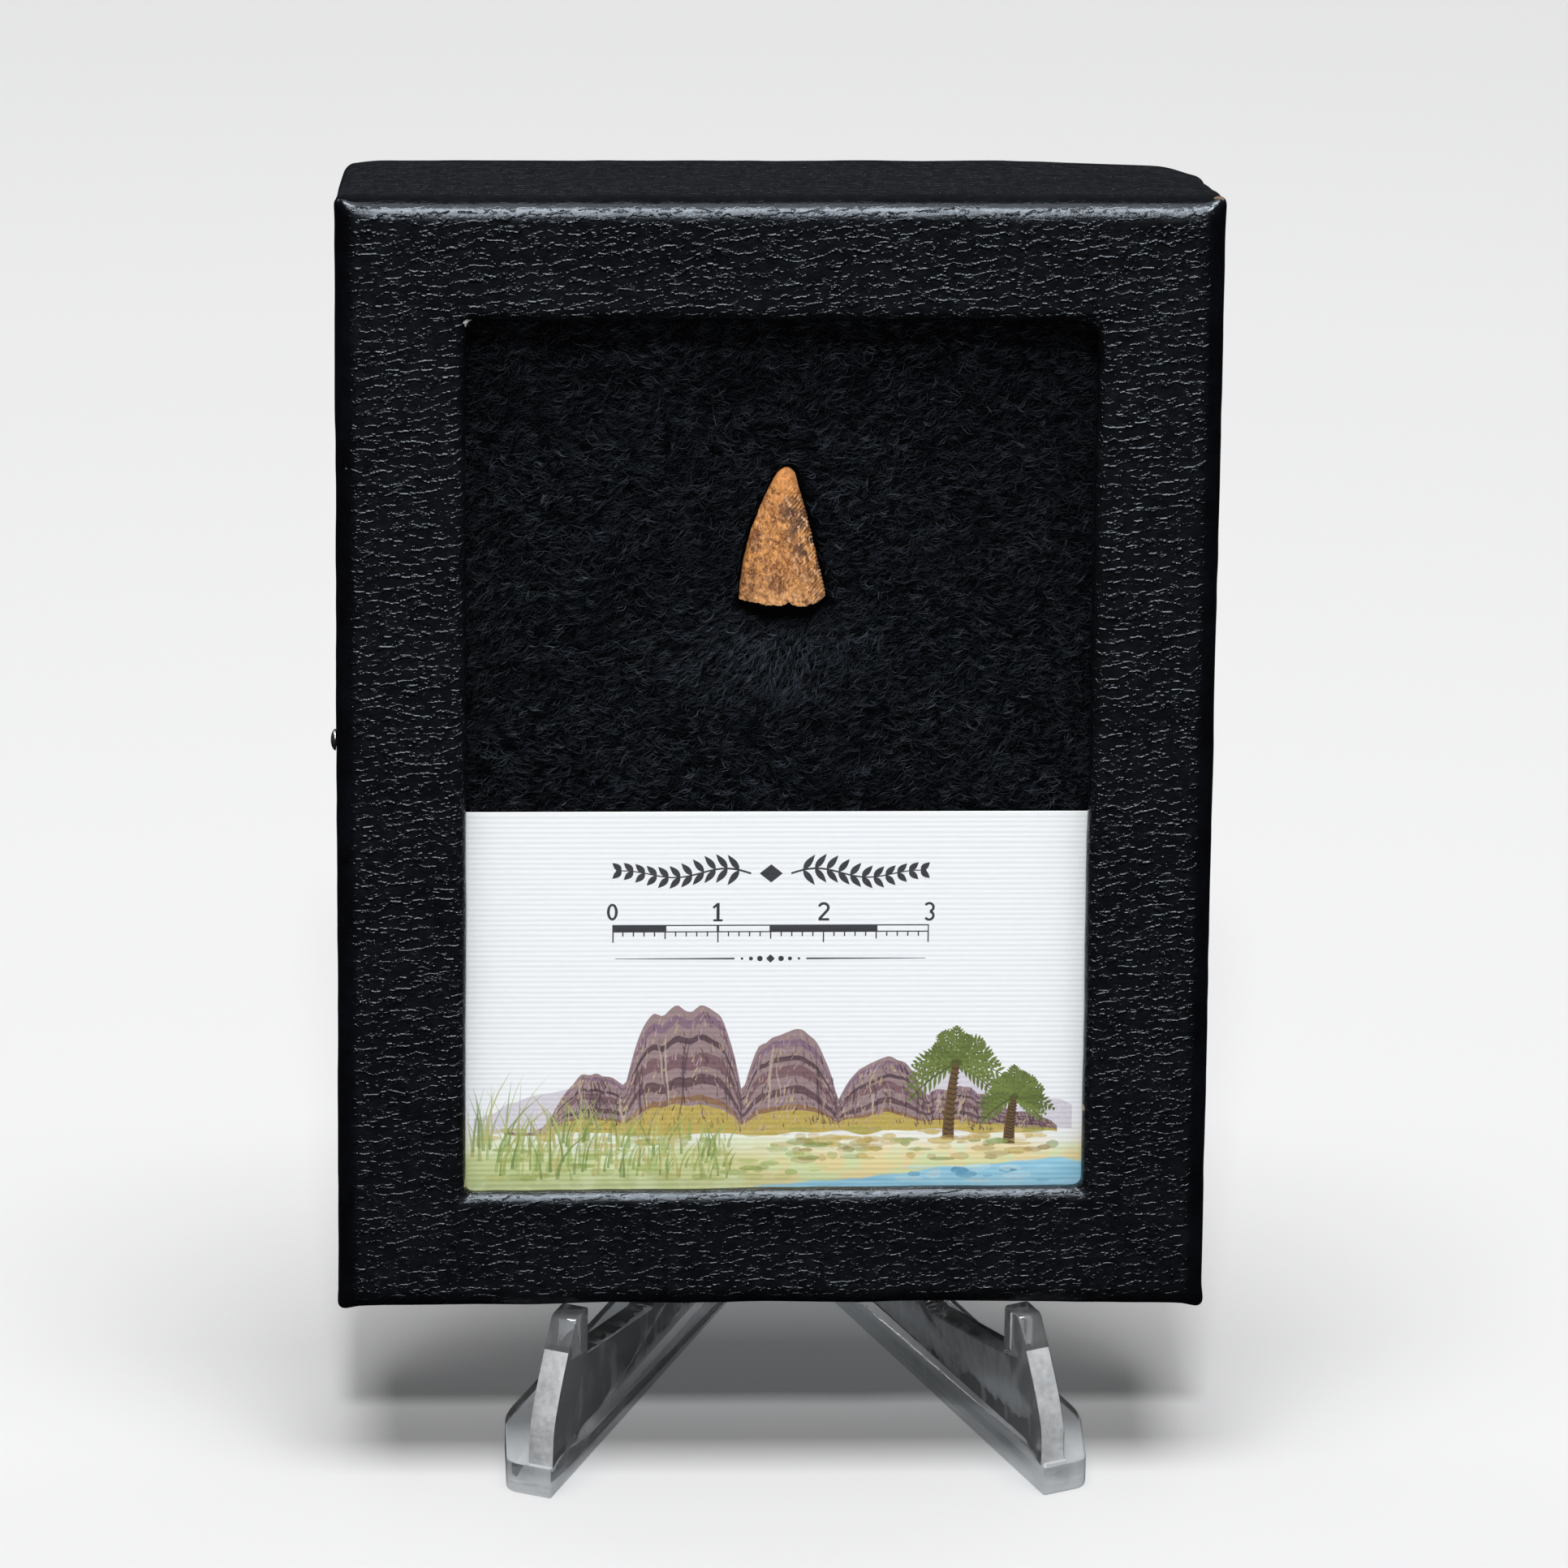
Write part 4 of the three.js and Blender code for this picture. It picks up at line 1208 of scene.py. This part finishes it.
def hills(sheet, draw):
    """Far hills, then a banded ridge cut by gullies."""
    x = np.linspace(-28.4, 28.6, 115)
    across = stacked(x, 0 * x, 0 * x)
    far = 18.0 + skyline(x, FAR_HILLS)
    far += 0.25 * soft_noise(across, 1.1, 81)
    sheet.between(x, far, 17.2 + 0.3 * soft_noise(across, 3.0, 82), shade(212, 202, 216), 0.75)
    x = np.linspace(-25.5, 27.2, 160)
    across = stacked(x, 0 * x, 0 * x)
    rise = skyline(x, RIDGE) * (1 + 0.05 * soft_noise(across, 1.3, 83))
    rise = np.clip(rise + 0.25 * soft_noise(across, 0.7, 84), 0.35, None)
    foot = 17.0 + 0.35 * soft_noise(across, 2.2, 85)
    for low, high, colour in BANDS:
        dip = 0.035 * soft_noise(across, 2.6, int(86 + 40 * low))
        bottom = foot + rise * (low + (dip if low else 0))
        sheet.between(x, foot + rise * (high + (dip if high < 1 else 0)), bottom, colour)
    facing = np.sign(np.roll(rise, -3) - np.roll(rise, 3))
    gullies(sheet, draw, x, foot, rise, facing)
    pencil_strokes(sheet, draw, x, foot, rise, facing)


def gullies(sheet, draw, x, foot, rise, facing):
    """Rills down the ridge."""
    for _ in range(60):
        at = draw.integers(4, len(x) - 4)
        if rise[at] < 1.5:
            continue
        share = np.linspace(0, 1, 5)
        lean = draw.uniform(-0.3, 0.3) * share * rise[at] * 0.3
        line_x = x[at] + lean + 0.09 * np.sin(7 * share + at)
        low, high = draw.uniform(0.05, 0.4), draw.uniform(0.62, 0.95)
        line_h = foot[at] + rise[at] * (high + (low - high) * share)
        lit = facing[at] > 0 and draw.random() < 0.5
        colour = shade(214, 192, 178) if lit else shade(66, 48, 58)
        width = (0.07 + 0.17 * np.sin(math.pi * share)) * draw.uniform(0.6, 1.3)
        sheet.line(np.column_stack((line_x, line_h)), width, tinted(draw, colour, 0.15), 0.6)


def pencil_strokes(sheet, draw, x, foot, rise, facing):
    """Short strokes on the ridge, paler where it faces left and darker where it faces right."""
    for _ in range(1500):
        at = draw.integers(2, len(x) - 2)
        level = draw.uniform(0.04, 0.95)
        length = min(draw.uniform(0.25, 0.85), rise[at] * (0.99 - level))
        lean = 0.25 * facing[at] + draw.normal(0, 0.2)
        tones = LIT_ROCK if draw.random() < 0.45 + 0.3 * facing[at] else DARK_ROCK
        base = np.array([x[at] + draw.uniform(-0.15, 0.15), foot[at] + rise[at] * level])
        ends = [base, base + (lean * length, length)]
        sheet.line(ends, (0.15, 0.05), draw_from(draw, tones, 0.1), draw.uniform(0.4, 0.85))


def fern_tree(sheet, draw, x, foot, height, reach):
    """A leaning scaly trunk with a crown of feathered fronds."""
    share = np.linspace(0, 1, 9)
    trunk = np.column_stack((x + 0.5 * share ** 2 * height * 0.18, foot + share * height))
    sheet.line(trunk, 1.15 - 0.45 * share, shade(108, 84, 52))
    for ring in range(1, 15):
        at = trunk[0] + (trunk[-1] - trunk[0]) * ring / 15
        sheet.line([at + (-0.42, 0.1), at + (0.1, -0.08), at + (0.42, 0.12)], 0.14,
                   shade(66, 48, 36))
    for number in range(15):
        angle = math.radians(-24 + 228 * number / 14)
        frond(sheet, draw, trunk[-1], angle, reach * draw.uniform(0.82, 1.1))


def frond(sheet, draw, base, angle, length):
    share = np.linspace(0, 1, 10)
    droop = 0.42 * length * share ** 2 * abs(math.cos(angle)) ** 0.7
    x = base[0] + length * share * math.cos(angle)
    h = base[1] + length * share * math.sin(angle) * (1 - 0.15 * share) - droop
    spine = np.column_stack((x, h))
    green = tinted(draw, shade(108, 122, 62), 0.22)
    for at in range(1, 10):
        along = spine[at] - spine[at - 1]
        heading = math.atan2(along[1], along[0])
        size = length * 0.30 * math.sin(math.pi * (0.12 + 0.83 * share[at]))
        for side in (-1, 1):
            leaf(sheet, spine[at], heading + side * 0.85, size, 0.3, green)
    sheet.line(spine, 0.2 - 0.12 * share, shade(82, 88, 44))


def grasses(sheet, draw, low, high, count, tallest, tones):
    """Curved blades, taller towards the outer end."""
    for _ in range(count):
        x = draw.uniform(low, high)
        outer = abs(x - high) / abs(high - low)
        foot = draw.uniform(12.2, 16.4)
        height = (0.35 + 0.65 * outer) * tallest * draw.uniform(0.45, 1.0)
        share = np.linspace(0, 1, 5)
        lean = draw.normal(0.1, 0.3) * height
        blade_x = np.clip(x + lean * share ** 2, -28.9, 29.1)
        colour = draw_from(draw, tones, 0.12)
        width = (0.3 - 0.27 * share) * draw.uniform(0.7, 1.3)
        sheet.line(np.column_stack((blade_x, foot + height * share)), width, colour,
                   draw.uniform(0.55, 0.9))


def dabs(sheet, draw, low, high, foot, top, count, tones):
    """Small brush dabs: tufts, stones and shade on the ground."""
    for _ in range(count):
        x, h = draw.uniform(low, high), draw.uniform(foot, top)
        wide, tall = draw.uniform(0.35, 1.5), draw.uniform(0.12, 0.4)
        angle = np.linspace(0, 2 * math.pi, 10)[:-1]
        rough_h = h + tall * np.sin(angle) * draw.uniform(0.7, 1.3, 9)
        outline = np.column_stack((x + wide * np.cos(angle), rough_h))
        sheet.shape(outline, draw_from(draw, tones, 0.1), draw.uniform(0.35, 0.8))


SCREE = [shade(196, 176, 98), shade(158, 164, 92), shade(214, 190, 130)]
SCRUB = [shade(138, 154, 86), shade(204, 178, 104), shade(174, 140, 84)]
MEADOW = [shade(170, 184, 104), shade(196, 198, 128), shade(150, 166, 88)]
GRASS = [shade(150, 168, 92), shade(178, 190, 122), shade(128, 150, 84), shade(196, 186, 116)]
GLINTS = [shade(206, 232, 242), shade(92, 156, 192)]


def card_artwork():
    sheet = Print()
    draw = np.random.default_rng(5)
    garland(sheet, PRINT_MIDDLE, 42.7, ORNAMENT_HALF)
    scale_bar(sheet, PRINT_MIDDLE - BAR_LENGTH / 2, 36.9)
    rule(sheet, PRINT_MIDDLE, 34.3, ORNAMENT_HALF)
    hills(sheet, draw)
    dabs(sheet, draw, -27, 27, 15.6, 17.6, 80, SCREE)
    fern_tree(sheet, draw, 16.8, 16.2, 7.6, 4.6)
    fern_tree(sheet, draw, 22.6, 15.8, 4.6, 3.5)
    dabs(sheet, draw, 2, 27.5, 14.2, 16.6, 60, SCRUB)
    dabs(sheet, draw, -27.5, 6, 12.4, 15.6, 70, MEADOW)
    grasses(sheet, draw, -28.6, -4.0, 210, 7.6, GRASS)
    dabs(sheet, draw, 13, 27.5, 12.1, 13.6, 16, GLINTS)
    return sheet.shapes


def paint(shapes, points):
    """Colour and cover of the inks laid over each point; a shape with no cover clears them."""
    colours = np.zeros((len(points), 4))
    for outline, colour in shapes:
        rim = np.array([tuple(p) for p in outline])
        low, high = rim.min(axis=0), rim.max(axis=0)
        near = np.flatnonzero(((points > low) & (points < high)).all(axis=1))
        x, h = points[near, 0][:, None], points[near, 1][:, None]
        after = np.roll(rim, -1, axis=0)
        level = (rim[:, 1] > h) != (after[:, 1] > h)
        rise = np.where(after[:, 1] == rim[:, 1], 1.0, after[:, 1] - rim[:, 1])
        crossing = rim[:, 0] + (h - rim[:, 1]) * (after[:, 0] - rim[:, 0]) / rise
        turns = np.where(level & (x < crossing), np.sign(after[:, 1] - rim[:, 1]), 0).sum(axis=1)
        hit, cover = near[turns != 0], colour[3]
        below = colours[hit, 3:] * (1 - cover) * (cover > 0)
        total = cover + below
        laid = np.array(colour[:3]) * cover + colours[hit, :3] * below
        colours[hit, :3] = laid / np.maximum(total, 1e-6)
        colours[hit, 3:] = total
    return colours


def print_card(finish):
    """The card with its print inlaid in the front face: every ink edge is an edge of the mesh."""
    outline = rectangle(-CARD_HALF_WIDTH, CARD_HALF_WIDTH, CARD_FOOT, CARD_TOP)
    shapes = [([Vector(p) for p in outline], (1, 1, 1, 0)), *card_artwork()]
    corners = [point for points, _ in shapes for point in points]
    starts = np.cumsum([0] + [len(points) for points, _ in shapes])
    edges = [(k, k + 1 if k + 1 < end else start)
             for start, end in zip(starts, starts[1:]) for k in range(start, end)]
    flat, _, faces, *_ = geometry.delaunay_2d_cdt(corners, edges, [], 0, JOIN_WITHIN, False)
    front = np.array([(p.x, CARD_FRONT, p.y) for p in flat])
    back = [(x, CARD_BACK, h) for x, h in outline]
    count = len(front)
    rim = [int(np.argmin(np.hypot(front[:, 0] - x, front[:, 2] - h))) for x, h in outline]
    sides = [[rim[k], rim[(k + 1) % 4], count + (k + 1) % 4, count + k] for k in range(4)]
    closing = [*sides, [count + k for k in range(4)]]
    piece = make_piece("card_printed", np.concatenate((front, back)), [*faces, *closing], [finish])
    piece.data.polygons.foreach_set("use_smooth", np.zeros(len(piece.data.polygons), bool))
    face_outward(piece)
    middles = front[np.array(faces)][:, :, [0, 2]].mean(axis=1)
    colours = [*paint(shapes, middles), *[(1, 1, 1, 0)] * len(closing)]
    sizes = [len(face) for face in faces] + [4] * len(closing)
    inks = piece.data.color_attributes.new("print", "FLOAT_COLOR", "CORNER")
    inks.data.foreach_set("color", np.repeat(np.array(colours, np.float32), sizes, axis=0).ravel())
    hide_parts("card")


# ---------------------------------------------------------------- pins

PIN_SIDES = 40


def pin(side, node, finish):
    """A turned pin: domed head, short neck, straight shaft, ground point."""
    dome = [(PIN_HEAD * math.cos(a), PIN_DOME * math.sin(a)) for a in np.linspace(0.12, 1.45, 10)]
    profile = [(0.02, -PIN_LENGTH), (0.16, -PIN_LENGTH + 0.6),
               (PIN_SHAFT, -PIN_LENGTH + 3 * PIN_SHAFT), (PIN_SHAFT, -6.0), (PIN_SHAFT, -0.25),
               (PIN_SHAFT + 0.06, -0.05), (PIN_HEAD - 0.12, 0.0), (PIN_HEAD - 0.03, 0.02), *dome]
    turn = np.linspace(0, 2 * math.pi, PIN_SIDES, endpoint=False)
    rings = []
    for radius, along in profile:
        x = np.full(PIN_SIDES, side * (BOX_WIDTH / 2 + PIN_STANDOFF + along))
        around = oval(BOX_DEPTH / 2, BOX_HEIGHT / 2, radius, radius, turn)
        rings.append(np.column_stack((x, around)))
    first = list(range(PIN_SIDES))
    last = [(len(rings) - 1) * PIN_SIDES + k for k in reversed(first)]
    faces = [*grid_faces(len(rings), PIN_SIDES, False, True), first, last]
    piece = make_piece(node + "_steel", np.concatenate(rings), faces, [finish])
    face_outward(piece)
    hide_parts(node)


# ---------------------------------------------------------------- easel

def frost_front(piece, side):
    """Gives the leaning front edge, above the clear foot, the frosted finish."""
    heading = math.pi / 2 + side * V_HALF_ANGLE
    along = Vector((math.cos(heading), math.sin(heading), 0))
    foot = Vector((EASEL_OFFSET + side * FOOT_SPAN, EASEL_FRONT, 0)) * MM
    for face in piece.data.polygons:
        forward = face.normal.dot(along) < FROST_FACING
        near = (face.center - foot).dot(along) < FROST_REACH * MM
        level = FROST_FOOT * MM < face.center.z < FROST_TOP * MM
        face.material_index = int(forward and near and level)


def easel():
    finishes = [clear_plastic(), frosted_plastic()]
    for side, node in ((-1, "easel_leg_left"), (1, "easel_leg_right")):
        piece = round_edges(node, node + "_moulded", 0.28, finishes)
        frost_front(piece, side)


# ---------------------------------------------------------------- studio

FLOOR_HALF = 9.0
WALL_LIGHT, WALL_SEEN = 0.04, 0.68
LAMP_AIM = Vector((0, 0, 0.062))

# Soft panels: azimuth and elevation in degrees, distance and size in metres, power in watts.
LAMPS = [("key_light", -3, 50, 3.4, (0.42, 0.34), 81),
         ("overhead", 0, 81, 1.5, (1.1, 0.62), 40),
         ("over_the_back", 180, 72, 1.5, (1.1, 0.8), 5),
         ("back_left", -125, 35, 2.4, (1.0, 0.8), 8),
         ("back_right", 125, 35, 2.4, (1.0, 0.8), 8)]

CAMERA_PLACE = Vector((-35.426, -805.029, 401.756)) * MM
CAMERA_TURN = (2.6294, 22.9061, 0.9028)
SENSOR_WIDTH, LENS = 36.0, 209.0


def studio():
    corners = rectangle(-FLOOR_HALF, FLOOR_HALF, -FLOOR_HALF, FLOOR_HALF)
    mesh = bpy.data.meshes.new("studio_floor")
    mesh.from_pydata([(x, y, 0) for x, y in corners], [], [(0, 1, 2, 3)])
    mesh.materials.append(studio_floor())
    floor = link("studio_floor", mesh)


def lamp(name, azimuth, elevation, distance, size, watts):
    """A soft panel of the given width and height, turned to face the object."""
    light = bpy.data.lights.new(name, "AREA")
    light.shape = "RECTANGLE"
    light.size, light.size_y, light.energy = *size, watts
    panel = link(name, light)
    a, e = math.radians(azimuth), math.radians(elevation)
    back = Vector((math.sin(a) * math.cos(e), -math.cos(a) * math.cos(e), math.sin(e)))
    panel.location = LAMP_AIM + back * distance
    panel.rotation_euler = back.to_track_quat("Z", "Y").to_euler()


def surroundings():
    """Pale walls, dimmer as a light source than to the eye."""
    world = bpy.data.worlds.new("studio")
    world.use_nodes = True
    tree = world.node_tree
    tree.nodes.clear()
    seen = add(tree, "ShaderNodeLightPath").outputs["Is Camera Ray"]
    walls = add(tree, "ShaderNodeBackground", {
        "Color": (0.94, 0.95, 0.97, 1), "Strength": times_add(tree, seen, WALL_SEEN, WALL_LIGHT)})
    add(tree, "ShaderNodeOutputWorld", {"Surface": walls.outputs[0]})
    bpy.context.scene.world = world


def camera():
    """Long lens, a little left of the middle and looking down at the tilted box."""
    view = bpy.data.cameras.new("camera")
    view.sensor_width, view.lens = SENSOR_WIDTH, LENS
    stand = link("camera", view)
    yaw, down, roll = map(math.radians, CAMERA_TURN)
    ahead = Vector((math.sin(yaw) * math.cos(down), math.cos(yaw) * math.cos(down),
                    -math.sin(down)))
    level = Vector((math.cos(yaw), -math.sin(yaw), 0))
    above = level.cross(ahead)
    right = level * math.cos(roll) + above * math.sin(roll)
    up = above * math.cos(roll) - level * math.sin(roll)
    turn = Matrix((right, up, -ahead)).transposed().to_4x4()
    stand.matrix_world = Matrix.Translation(CAMERA_PLACE) @ turn
    bpy.context.scene.camera = stand


camera()
surroundings()
studio()
for settings in LAMPS:
    lamp(*settings)
bpy.context.scene.view_settings.view_transform = "Standard"

lid()
tray()
pane()
tooth()
fleece_pad()
print_card(printed_card())
steel = pin_steel()
pin(-1, "pin_left", steel)
pin(1, "pin_right", steel)
easel()
